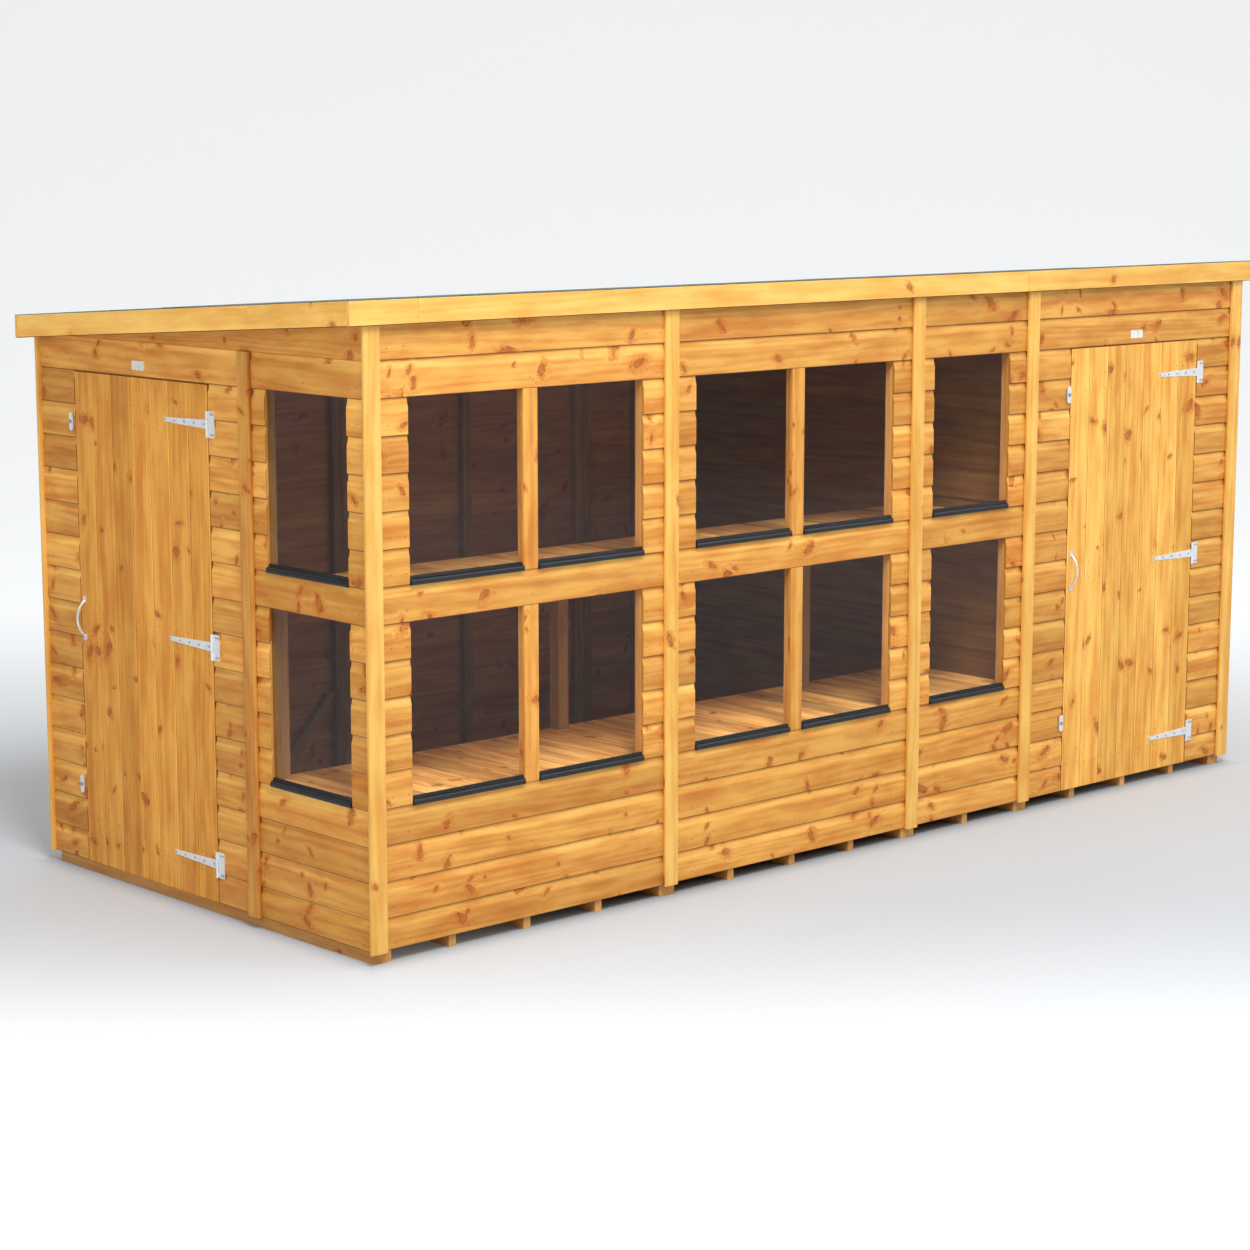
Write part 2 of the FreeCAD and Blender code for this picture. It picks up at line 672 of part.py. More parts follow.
# Doors: the same on both walls, hinged on the right seen from outside
def door_leaf(name, wall, start):
    width = DOOR_OPENING - 2 * S["door_gap"]
    left = start + S["door_margin"] + S["door_gap"]
    low = S["clad_bottom"]
    pitch = width / DOOR_BOARDS
    face = pitch - S["door_board_gap"]
    vee = S["door_vee"]
    body = doc.addObject("PartDesign::Body", name + "_leaf")
    corners = [(ZERO, vee), (vee, ZERO), (face - vee, ZERO), (face, vee), (face, S["door_thk"]),
               (ZERO, S["door_thk"])]
    board = pad(body, outline(body, "XY_Plane", corners), DOOR_HEAD - S["door_gap"] - low)
    repeat(body, board, "X_Axis", pitch, DOOR_BOARDS)
    wall.place(body, left, ZERO, low)
    node(name + "_boards", body)
    ledges = [box(wall, left + S["ledge_inset"], S["door_thk"], height - S["ledge_height"] / 2,
                  width - 2 * S["ledge_inset"], S["ledge_thk"], S["ledge_height"])
              for height in hinge_heights()]
    node(name + "_ledges", group(name + "_ledges_all", ledges))


def hinge_heights():
    return [S["hinge_low"] + S["hinge_pitch"] * number for number in range(HINGES)]


def screw(wall, along, up, face):
    """Round-headed screw whose shank fills the hole of the hinge steel."""
    head = cylinder(wall, along, -face - S["screw_rise"], up, S["screw_head"], S["screw_rise"], INWARD)
    shank = cylinder(wall, along, -face, up, S["screw_shank"], face, INWARD)
    return fuse("screw", [head, shank])


def screw_hole(wall, along, up, face):
    return cylinder(wall, along, -2 * face, up, S["screw_shank"] + S["screw_clear"], 3 * face, INWARD)


def hinge_strap(wall, axis, height):
    """Tapered strap with a round tip and its knuckle round the pin."""
    thk = S["strap_thk"]
    taper = doc.addObject("Part::Wedge", "strap")
    root = S["strap_root"] / 2
    tip = S["strap_tip"] / 2
    run = S["strap_length"] - tip
    turn = FreeCAD.Rotation(FreeCAD.Vector(0, 0, 1), 90)
    bind(taper, Xmin=-thk, Xmax=ZERO, X2min=-thk, X2max=ZERO, Ymin=ZERO, Ymax=run, Zmin=-root, Zmax=root,
         Z2min=-tip, Z2max=tip)
    wall.place(taper, axis, ZERO, height, turn)
    nose = cylinder(wall, axis - run, -thk, height, tip, thk, INWARD)
    offset = S["barrel_radius"] + S["barrel_clear"]
    barrel = cylinder(wall, axis, -offset, height - root, S["barrel_radius"], S["strap_root"])
    step = (run - 2 * S["screw_inset"]) / (STRAP_SCREWS - 1)
    spots = [axis - 2 * S["screw_inset"] - step * number for number in range(STRAP_SCREWS)]
    bore = cylinder(wall, axis, -offset, height - S["strap_root"], S["pin_radius"] + S["pin_clear"],
                    2 * S["strap_root"])
    relief = box(wall, axis - S["door_gap"] / 2, -S["barrel_clear"], height - root, S["door_gap"],
                 2 * S["barrel_clear"], S["strap_root"])
    holes = [screw_hole(wall, spot, height, thk) for spot in spots]
    steel = cut("hinge_strap", fuse("hinge_strap_solid", [taper, nose, barrel]), [bore, relief] + holes)
    return steel, [screw(wall, spot, height, thk) for spot in spots]


def hinge_plate(wall, axis, height):
    """Fixed plate with two knuckles and room for the knuckle of the strap."""
    thk = S["strap_thk"]
    half = S["plate_height"] / 2
    root = S["strap_root"] / 2 + S["knuckle_gap"]
    offset = S["barrel_radius"] + S["barrel_clear"]
    room = S["barrel_radius"] + S["barrel_clear"]
    plate = box(wall, axis, -thk, height - half, S["plate_width"], thk, S["plate_height"])
    barrels = [cylinder(wall, axis, -offset, low, S["barrel_radius"], half - root)
               for low in (height - half, height + root)]
    bore = cylinder(wall, axis, -offset, height - S["plate_height"], S["pin_radius"] + S["pin_seat"],
                    2 * S["plate_height"])
    notch = box(wall, axis - room, -2 * offset, height - root, 2 * room, 3 * offset, 2 * root)
    across = (axis + 2 * S["screw_inset"], axis + S["plate_width"] - S["screw_inset"] / 2)
    spots = [(across[0], height - half + S["screw_inset"]), (across[0], height + half - S["screw_inset"]),
             (across[1], height - half + S["screw_inset"]), (across[1], height + half - S["screw_inset"])]
    holes = [screw_hole(wall, along, up, thk) for along, up in spots]
    steel = cut("hinge_plate", fuse("hinge_plate_solid", [plate] + barrels), [bore, notch] + holes)
    pin = cylinder(wall, axis, -offset, height - half - S["pin_end"], S["pin_radius"],
                   S["plate_height"] + 2 * S["pin_end"])
    return steel, pin, [screw(wall, along, up, thk) for along, up in spots]


def door_handle(name, wall, start):
    """Bow of round rod between two flat feet."""
    along = start + S["door_margin"] + S["door_gap"] + S["handle_edge"]
    middle = S["handle_middle"]
    sink = S["bow_radius"] + S["rod_radius"] - S["handle_rise"]
    half = (S["bow_radius"] * S["bow_radius"] - sink * sink).root()
    ring_item = doc.addObject("Part::Torus", "bow_ring")
    bind(ring_item, Radius1=S["bow_radius"], Radius2=S["rod_radius"])
    wall.place(ring_item, along, sink, middle, ALONG)
    reach = S["bow_radius"] + 2 * S["rod_radius"]
    front = box(wall, along - S["foot_width"], -2 * S["handle_rise"], middle - reach, 2 * S["foot_width"],
                2 * S["handle_rise"], 2 * reach)
    bow = doc.addObject("Part::Common", "bow")
    bow.Base = ring_item
    bow.Tool = front
    members = [bow]
    radius = S["foot_width"] / 2
    for low, end in ((middle - half - S["foot_length"] / 2, middle - half - S["foot_length"] / 2),
                     (middle + half - S["foot_length"] / 2, middle + half + S["foot_length"] / 2)):
        members.append(box(wall, along - radius, -S["foot_thk"], low, S["foot_width"], S["foot_thk"],
                           S["foot_length"]))
        members.append(cylinder(wall, along, -S["foot_thk"], end, radius, S["foot_thk"], INWARD))
    node(name + "_handle", fuse(name + "_handle_solid", members))


def turn_button(name, wall, along, up):
    """Upright tab with round ends, turning on a headed pivot."""
    thk = S["tab_thk"]
    face = S["base_thk"] + S["tab_gap"] + thk
    radius = S["tab_width"] / 2
    straight = S["tab_length"] - S["tab_width"]
    members = [box(wall, along - radius, -face, up - straight / 2, S["tab_width"], thk, straight),
               cylinder(wall, along, -face, up - straight / 2, radius, thk, INWARD),
               cylinder(wall, along, -face, up + straight / 2, radius, thk, INWARD)]
    hole = cylinder(wall, along, -face - thk, up, S["pivot_radius"] + S["pin_clear"], 3 * thk, INWARD)
    node(name, cut(name + "_tab", fuse(name + "_solid", members), [hole]))
    head = face + S["tab_gap"]
    pivot = [box(wall, along - S["base_width"] / 2, -S["base_thk"], up - S["base_height"] / 2, S["base_width"],
                 S["base_thk"], S["base_height"]),
             cylinder(wall, along, -head, up, S["pivot_radius"], head, INWARD),
             cylinder(wall, along, -head - S["pivot_rise"], up, S["pivot_head"], S["pivot_rise"], INWARD)]
    return fuse("button_pivot", pivot)


def make_doors():
    plates = []
    pins = []
    plate_screws = []
    pivots = []
    blanks = []
    doors = (("left_door", LEFT, ZERO, SIDE_COURSES, SIDE_TOP),
             ("front_door", SITE, CROSS_RIGHT, FRONT_COURSES, FRONT_TOP))
    for name, wall, start, courses, top in doors:
        margin = S["door_margin"]
        opening = [(margin, margin + DOOR_OPENING, S["clad_bottom"], DOOR_HEAD)]
        node(name + "_cladding", cladding(name + "_cladding", wall, start, S["panel_wide"], courses, opening))
        door_frame(name + "_frame", wall, start, top)
        door_leaf(name, wall, start)
        axis = start + margin + DOOR_OPENING - S["door_gap"] / 2
        straps = []
        strap_screws = []
        for height in hinge_heights():
            strap, screws = hinge_strap(wall, axis, height)
            straps.append(strap)
            strap_screws += screws
            plate, pin, screws = hinge_plate(wall, axis, height)
            plates.append(plate)
            pins.append(pin)
            plate_screws += screws
        node(name + "_straps", group(name + "_straps_all", straps))
        node(name + "_strap_screws", group(name + "_strap_screws_all", strap_screws))
        door_handle(name, wall, start)
        button = start + margin - S["button_offset"]
        pivots.append(turn_button(name + "_button_lower", wall, button, S["button_low"]))
        pivots.append(turn_button(name + "_button_upper", wall, button, S["button_high"]))
        blanks.append(box(wall, start + (S["panel_wide"] - S["blank_width"]) / 2, -S["blank_thk"],
                          DOOR_HEAD + S["blank_lift"], S["blank_width"], S["blank_thk"], S["blank_height"]))
    node("hinge_plates", group("hinge_plates_all", plates))
    node("hinge_pins", group("hinge_pins_all", pins))
    node("hinge_plate_screws", group("hinge_plate_screws_all", plate_screws))
    node("button_pivots", group("button_pivots_all", pivots))
    node("blank_plates", group("blank_plates_all", blanks))


# Roof
def make_roof():
    thk = S["fascia_thk"]
    over = S["side_overhang"]
    edge_left = thk - over
    edge_right = LENGTH + over - thk
    front = -ROOF_FRONT
    back = DEPTH + ROOF_FRONT
    width = S["rafter_width"]
    split = CROSS_LEFT - S["roof_split"]
    gap = S["roof_gap"]

    def rafter_over(spot):
        return roof_under(spot) + S["rafter_height"]

    centres = [WALL / 2, (WALL + JOINT_1) / 2, JOINT_1, (JOINT_1 + JOINT_2) / 2, JOINT_2,
               (JOINT_2 + CROSS_LEFT) / 2, (CROSS_LEFT + CROSS_RIGHT) / 2,
               (CROSS_RIGHT + LENGTH - WALL) / 2, LENGTH - WALL / 2]
    lefts = [edge_left] + [centre - width / 2 for centre in centres] + [edge_right - width]
    node("rafters", group("rafters_all", [
        sloped(left, left + width, front, back, roof_under, rafter_over) for left in lefts]))

    pitch = (back - front) / ROOF_BOARDS
    boards = []
    for left, right in ((edge_left, split - gap), (split + gap, edge_right)):
        for row in range(ROOF_BOARDS):
            near = front + pitch * row
            boards.append(sloped(left, right, near, near + pitch - S["floor_gap"], rafter_over, roof_top))
    node("roof_boards", group("roof_boards_all", boards))

    def felt_under(spot):
        return roof_top(spot) + gap

    def felt_over(spot):
        return felt_under(spot) + S["felt_thk"]

    middle = DEPTH / 2
    felt = [sloped(-over, LENGTH + over, -EAVES, middle, felt_under, felt_over),
            sloped(-over, LENGTH + over, middle + gap, DEPTH + EAVES, felt_under, felt_over)]
    node("roof_felt", group("roof_felt_all", felt))

    height = S["fascia_height"]
    front_low = roof_top(front) - height
    back_low = roof_top(DEPTH + EAVES) - height
    node("front_fascia", group("front_fascia_all", [
        box(SITE, -over, -EAVES, front_low, split - gap + over, thk, height),
        box(SITE, split + gap, -EAVES, front_low, LENGTH + over - split - gap, thk, height)]))
    node("back_fascia", group("back_fascia_all", [
        box(SITE, -over, DEPTH + ROOF_FRONT, back_low, split - gap + over, thk, height),
        box(SITE, split + gap, DEPTH + ROOF_FRONT, back_low, LENGTH + over - split - gap, thk, height)]))

    def fascia_under(spot):
        return roof_top(spot) - height

    side = S["side_split"]
    for label, left in (("left_fascia", -over), ("right_fascia", edge_right)):
        node(label, group(label + "_all", [
            sloped(left, left + thk, front, side - gap, fascia_under, roof_top),
            sloped(left, left + thk, side + gap, back, fascia_under, roof_top)]))


# Bench along the front wall of the main room
def make_bench():
    left = WALL
    right = CROSS_LEFT
    back = S["bench_back"]
    leg = S["leg"]
    leg_front = back - leg
    pitch = (right - left) / SHELF_BOARDS
    leg_top = S["upper_top"] - S["shelf_thk"]
    leg_lefts = [left + S["panel_gap"], JOINT_1 - leg / 2, JOINT_2 - leg / 2, right - leg - S["panel_gap"]]
    notches = []
    for leg_left in leg_lefts:
        notches.append(box(SITE, leg_left - S["leg_gap"], leg_front - S["leg_gap"], ZERO, leg + 2 * S["leg_gap"],
                           2 * leg, leg_top))
    rails = []
    shelves = {}
    for label, top in (("lower_shelf", S["lower_top"]), ("work_top", S["upper_top"])):
        low = top - S["shelf_thk"]
        shelves[label] = [box(SITE, left + pitch * number + S["shelf_gap"] / 2, WALL + S["panel_gap"], low,
                              pitch - S["shelf_gap"], back - WALL - S["panel_gap"], S["shelf_thk"])
                          for number in range(SHELF_BOARDS)]
        for front in (WALL + S["panel_gap"], leg_front - S["bench_rail_thk"]):
            rails.append(box(SITE, left + S["panel_gap"], front, low - S["bench_rail_height"],
                             right - left - 2 * S["panel_gap"], S["bench_rail_thk"], S["bench_rail_height"]))
    boards = group("lower_shelf_boards_all", shelves["lower_shelf"])
    node("lower_shelf_boards", cut("lower_shelf_notched", boards, notches))
    node("work_top_boards", group("work_top_boards_all", shelves["work_top"]))
    node("bench_legs", group("bench_legs_all", [
        box(SITE, leg_left, leg_front, FLOOR_TOP, leg, leg, leg_top - FLOOR_TOP) for leg_left in leg_lefts]))
    node("bench_rails", group("bench_rails_all", rails))


def check_and_write():
    doc.recompute()
    for item in doc.Objects:
        if "Invalid" in item.State or "Error" in item.State:
            raise RuntimeError("%s is in state %s" % (item.Label, item.State))
    os.makedirs("parts", exist_ok=True)
    for item in NODES:
        if item.Shape.isNull() or not item.Shape.isValid() or not item.Shape.Solids:
            raise RuntimeError("%s has no good shape" % item.Label)
        item.Shape.exportStep("parts/%s.step" % item.Label)


make_floor()
drip_sills = make_front_wall() + make_left_window()
node("drip_sills", group("drip_sills_all", drip_sills))
make_plain_walls()
make_wedges()
make_trims()
make_doors()
make_roof()
make_bench()
check_and_write()
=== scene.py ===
"""Potting shed dressed for a studio picture: boards, trims, glass, hardware, roof felt, bench and stage."""

import math
from collections import namedtuple

import bpy
import numpy as np
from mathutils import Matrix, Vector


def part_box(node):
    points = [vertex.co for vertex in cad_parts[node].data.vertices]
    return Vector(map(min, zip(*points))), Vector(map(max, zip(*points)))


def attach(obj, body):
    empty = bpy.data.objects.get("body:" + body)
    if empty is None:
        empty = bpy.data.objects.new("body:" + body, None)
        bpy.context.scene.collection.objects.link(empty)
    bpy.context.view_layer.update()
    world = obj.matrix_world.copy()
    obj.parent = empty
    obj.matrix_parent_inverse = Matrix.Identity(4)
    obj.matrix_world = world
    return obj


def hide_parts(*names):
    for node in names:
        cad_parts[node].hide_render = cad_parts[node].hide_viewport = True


bl_info = {
    "name": "Potting Shed",
    "version": (1, 0, 0),
    "blender": (4, 5, 0),
    "location": "3D View > Sidebar > Potting Shed",
    "description": "Dresses a potting shed frame with shiplap boards, doors, windows, roof and bench",
    "category": "Add Mesh",
}

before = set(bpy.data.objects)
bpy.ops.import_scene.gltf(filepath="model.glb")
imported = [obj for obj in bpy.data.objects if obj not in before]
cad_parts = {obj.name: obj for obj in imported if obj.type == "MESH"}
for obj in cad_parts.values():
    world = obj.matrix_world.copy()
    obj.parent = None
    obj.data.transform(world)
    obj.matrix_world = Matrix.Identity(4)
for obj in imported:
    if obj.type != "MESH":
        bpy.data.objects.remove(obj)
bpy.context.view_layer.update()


# Counts of like pieces, and courses of boards that an opening takes up, from the first to before the last
FRONT_COURSES = 17
SIDE_COURSES = 16
WINDOW_COURSES = ((4, 9), (10, 15))
DOOR_COURSES = 15
DOOR_BOARDS = 7
HINGES = 3
STRAP_SCREWS = 5
BENCH_BOARDS = 26
FLOOR_BOARDS = 16
ROOF_BOARDS = 17

# Painted shade: share of the wood colour kept on the backs of the wall boards, on the far walls and on the
# bench legs
INNER_SHADE = 0.47
FAR_SHADE = 0.7
LEG_SHADE = 0.46

# Fall of the roof for each metre back, and the largest angle that is shaded smooth
ROOF_FALL = 0.0643
SMOOTH_ANGLE = math.radians(32.0)


def rgb(red, green, blue):
    """Screen colour from 0 to 255 as scene-linear values, by the standard display curve."""
    part = np.array([red, green, blue]) / 255.0
    linear = np.where(part <= 0.04045, part / 12.92, ((part + 0.055) / 1.055) ** 2.4)
    return tuple(float(value) for value in linear)


def scaled(shade, share):
    """Colour with each part multiplied by a share."""
    return tuple(share * part for part in shade)


def amount(default, text, **kind):
    return bpy.props.FloatProperty(name=text, default=default, **kind)


def length(default, text):
    return amount(default, text, unit="LENGTH", min=0.0)


def colour(default, text):
    return bpy.props.FloatVectorProperty(name=text, default=default, subtype="COLOR", min=0.0, max=1.0)


class ShedSizes(bpy.types.PropertyGroup):
    """Sizes of the boards and fittings."""

    board_thk: length(0.012, "Thickness of a shiplap board")
    board_foot: length(0.040, "Lower edge of the wall boards")
    first_course: length(0.099, "Face height of the lowest board")
    course: length(0.112, "Face height of every other board")
    lap: length(0.008, "Height of the lap between two boards")
    lap_gap: length(0.0004, "Play in the lap")
    cove_height: length(0.028, "Height of the hollow along the top of a board")
    cove_depth: length(0.006, "Depth of the hollow along the top of a board")
    edge: length(0.0012, "Rounding of a sawn edge")
    board_end: length(0.0006, "Rounding of the end of a wall board or sill")
    plank_end: length(0.0008, "Rounding of the end of a door board or fascia")
    timber_end: length(0.0002, "Rounding of the end of a frame timber")
    trim_round: length(0.0045, "Rounding of the front edges of trims and strips")
    trim_width: length(0.062, "Width of a corner trim")
    strip_width: length(0.058, "Width of a strip over a panel joint")
    back_room: length(0.001, "Gap above the trims and strips of the back wall")
    fascia_thk: length(0.014, "Thickness of a fascia")
    fascia_height: length(0.074, "Height of a sloped fascia")
    fascia_round: length(0.0018, "Rounding of the edges of a fascia")
    fascia_gap: length(0.0003, "Half the gap in a joint of the fascias")
    fascia_short: length(0.180, "First joint of a long fascia, from the left wall")
    fascia_back: length(0.040, "Second joint of a long fascia, before the end of the last window panel")
    fascia_side: length(0.476, "Joint of a sloped fascia, from the front wall")
    window_margin_wide: length(0.116, "Wall on each side of a wide window")
    window_margin_narrow: length(0.093, "Wall on each side of a narrow window")
    mullion: length(0.059, "Width of a mullion cover strip")
    mullion_stud: length(0.045, "Width of the stud behind a mullion")
    mullion_depth: length(0.022, "Depth of the stud behind a mullion")
    glass_room: length(0.004, "Depth that a pane takes behind the boards")
    sill_play: length(0.0015, "Gap at each end of a drip sill")
    door_margin: length(0.205, "Wall on each side of a door opening")
    door_gap: length(0.004, "Gap round a door")
    board_play: length(0.0005, "Gap between two door boards, and half the gap between laid boards")
    door_vee: length(0.0025, "Chamfer along a door board")
    door_lap: length(0.015, "How far the door frame stands behind the door")
    ledge_height: length(0.095, "Height of a door ledge")
    ledge_round: length(0.0025, "Rounding of the edges of a door ledge")
    panel_gap: length(0.0005, "Free play at each end of a panel")
    stud: length(0.040, "Width of a stud")
    brace_run: length(0.345, "Run of a corner brace along the wall")
    braced_panel: length(1.035, "Length over which a panel of the back wall has a brace")
    nail_head: length(0.0021, "Radius of a nail head")
    nail_shake: length(0.0022, "Spread of the nails about their line")
    nail_row: length(0.034, "Height of the nails above the foot of a board")
    nail_outer: length(0.042, "Nails from the end of a panel")
    nail_inner: length(0.014, "Nails from an opening")
    nail_plank: length(0.024, "Nails from the edge of a door board")
    nail_ledge: length(0.030, "Nails above and below the middle of a door ledge")
    hinge_low: length(0.166, "Height of the lowest hinge")
    hinge_pitch: length(0.707, "Height from one hinge to the next")
    strap_length: length(0.243, "Length of a hinge strap")
    strap_tip: length(0.007, "Radius of the tip of a hinge strap")
    plate_width: length(0.036, "Width of a fixed hinge plate")
    plate_height: length(0.084, "Height of a fixed hinge plate")
    steel_thk: length(0.0025, "Thickness of the hinge steel")
    screw_inset: length(0.010, "Screw distance from an edge of the hinge")
    screw_head: length(0.004, "Radius of a screw head")
    screw_rise: length(0.0018, "Height of the dome of a screw head")
    screw_shank: length(0.002, "Radius of a screw under its head")
    felt_thk: length(0.0025, "Thickness of the roof felt")
    felt_lap: length(0.075, "Width of the lap in the roof felt")
    felt_lift: length(0.0024, "Rise of the upper length of felt over the lower one")
    felt_wave: length(0.0012, "Height of the waves in the roof felt")
    felt_rim: length(0.12, "Width of the rim of the felt where its waves die out")
    felt_climb: length(0.06, "Run in which the upper length of felt climbs")
    felt_flat: length(0.08, "Run of the upper length of felt after its climb")


class ShedColours(bpy.types.PropertyGroup):
    """Colours of the finishes."""

    wall_light: colour(rgb(233, 178, 86), "Light wood of the wall boards")
    wall_dark: colour(rgb(198, 124, 46), "Dark rings of the wall boards")
    trim_light: colour(rgb(246, 200, 106), "Light wood of trims, strips and fascias")
    trim_dark: colour(rgb(224, 160, 68), "Dark rings of trims, strips and fascias")
    door_light: colour(rgb(251, 200, 99), "Light wood of the doors")
    door_dark: colour(rgb(218, 146, 54), "Dark rings of the doors")
    inner_light: colour(rgb(230, 178, 106), "Light wood of frames, floor and legs")
    inner_dark: colour(rgb(198, 138, 70), "Dark rings of frames, floor and legs")
    bench_light: colour(rgb(252, 204, 116), "Light wood of the bench boards")
    bench_dark: colour(rgb(194, 124, 52), "Dark rings of the bench boards")
    knot: colour(rgb(132, 56, 18), "Heart of a knot")
    knot_rim: colour(rgb(196, 104, 30), "Wood around a knot")
    sill: colour(rgb(15, 20, 26), "Drip sills under the panes")
    zinc: colour(rgb(240, 243, 246), "Plated steel")
    felt: colour(rgb(104, 118, 116), "Mineral of the roof felt")
    felt_dust: colour(rgb(142, 148, 142), "Dusty patches of the roof felt")
    plate: colour(rgb(232, 232, 228), "Bare plates above the doors")
    plate_wear: colour(rgb(206, 206, 200), "Worn patches of the bare plates")
    nail: colour(rgb(142, 90, 44), "Tarnished nail heads")
    nail_rust: colour(rgb(98, 58, 28), "Rust on nail heads")


class ShedStage(bpy.types.PropertyGroup):
    """Camera and light of the studio."""

    camera_spot: bpy.props.FloatVectorProperty(name="Place of the camera", default=(-7.2305, -7.5142, 2.4245))
    camera_turn: amount(0.74550, "Turn of the camera from straight back to the right", subtype="ANGLE")
    camera_tilt: amount(0.16461, "Downward tilt of the camera", subtype="ANGLE")
    lens: amount(82.30, "Focal length in millimetres")
    frame_width: amount(36.0, "Width of the camera's frame in millimetres")
    sky: amount(0.74, "Strength of the even light")
    key: amount(830.0, "Power of the main light")
    fill: amount(290.0, "Power of the light on the right")
    side: amount(105.0, "Power of the warm light on the left")
    glow: amount(0.42, "Light of the backdrop itself")
    floor: colour((0.574, 0.612, 0.652), "Pale floor and backdrop")
    bend: length(9.0, "Radius of the bend of the backdrop, and its distance from the middle")
    front: length(26.0, "Reach of the floor towards the camera")
    height: length(24.0, "Height of the backdrop")
    breadth: length(64.0, "Breadth of the backdrop")


# Places of the walls, read from the frame
FACE_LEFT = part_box("left_door_cladding")[0][0]
FACE_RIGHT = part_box("right_cladding")[1][0]
FACE_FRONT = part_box("front_cladding_1")[0][1]
FACE_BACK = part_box("back_cladding")[1][1]
FACE_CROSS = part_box("cross_cladding")[0][0]
FLOOR_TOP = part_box("floor_boards")[1][2]
EAST, NORTH, UP = np.eye(3)


class Wall:
    """Axes of a wall: along it to the right seen from outside, inward, and up."""

    def __init__(self, origin, along, inward):
        self.origin = np.array([*origin, 0.0])
        self.along = along
        self.inward = inward

    def at(self, along, inward, up):
        """Points at the given distances along, inward and up."""
        along, inward, up = (part[..., None] for part in np.broadcast_arrays(along, inward, up))
        return self.origin + along * self.along + inward * self.inward + up * UP

    def reach(self, node):
        """Lowest and highest distance along, inward and up of a CAD node."""
        corners = np.array([tuple(corner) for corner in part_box(node)]) - self.origin
        return np.sort(np.stack([self.along, self.inward, UP]) @ corners.T, axis=1)


WALLS = {
    "front": Wall((FACE_LEFT, FACE_FRONT), EAST, NORTH),
    "left": Wall((FACE_LEFT, FACE_BACK), -NORTH, EAST),
    "right": Wall((FACE_RIGHT, FACE_FRONT), NORTH, -EAST),
    "back": Wall((FACE_RIGHT, FACE_BACK), -EAST, -NORTH),
    "cross": Wall((FACE_CROSS, FACE_BACK), -NORTH, EAST),
}
DOORS = (("left_door", "left"), ("front_door", "front"))

# Panels with an opening: margin is the size beside it, columns the panes side by side, 0 for a door
WallPanel = namedtuple("WallPanel", "name side courses margin columns seed")
PANELS = (
    WallPanel("front_{}_1", "front", FRONT_COURSES, "window_margin_wide", 2, 100),
    WallPanel("front_{}_2", "front", FRONT_COURSES, "window_margin_wide", 2, 101),
    WallPanel("front_{}_3", "front", FRONT_COURSES, "window_margin_narrow", 1, 102),
    WallPanel("left_window_{}", "left", SIDE_COURSES, "window_margin_narrow", 1, 103),
    WallPanel("front_door_{}", "front", FRONT_COURSES, "door_margin", 0, 120),
    WallPanel("left_door_{}", "left", SIDE_COURSES, "door_margin", 0, 121),
)
WINDOW_PANELS = [panel for panel in PANELS if panel.columns]

# Plain walls are divided like the panels across from them
PLAIN_PANELS = {
    "right": ("left_window_cladding", "left_door_cladding"),
    "back": ("front_door_cladding", "front_cladding_3", "front_cladding_2", "front_cladding_1"),
    "cross": ("cross_cladding",),
}


def laid_out(panel, sizes):
    """Wall of a panel, its two ends along that wall, and the margin beside its opening."""
    wall = WALLS[panel.side]
    start, end = wall.reach(panel.name.format("cladding"))[0]
    return wall, start, end, getattr(sizes, panel.margin)


def plain_spans(side):
    """Ends of the panels of a plain wall."""
    return [WALLS[side].reach(node)[0] for node in PLAIN_PANELS[side]]


def corners_of(node):
    """Lowest and highest corner of a CAD node."""
    return [np.array(corner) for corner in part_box(node)]


# Meshes: range of the places on the grain map where pieces start, and size of the map on an end, in metres
MAP_SPREAD = 40.0
CAP_SPREAD = 0.06


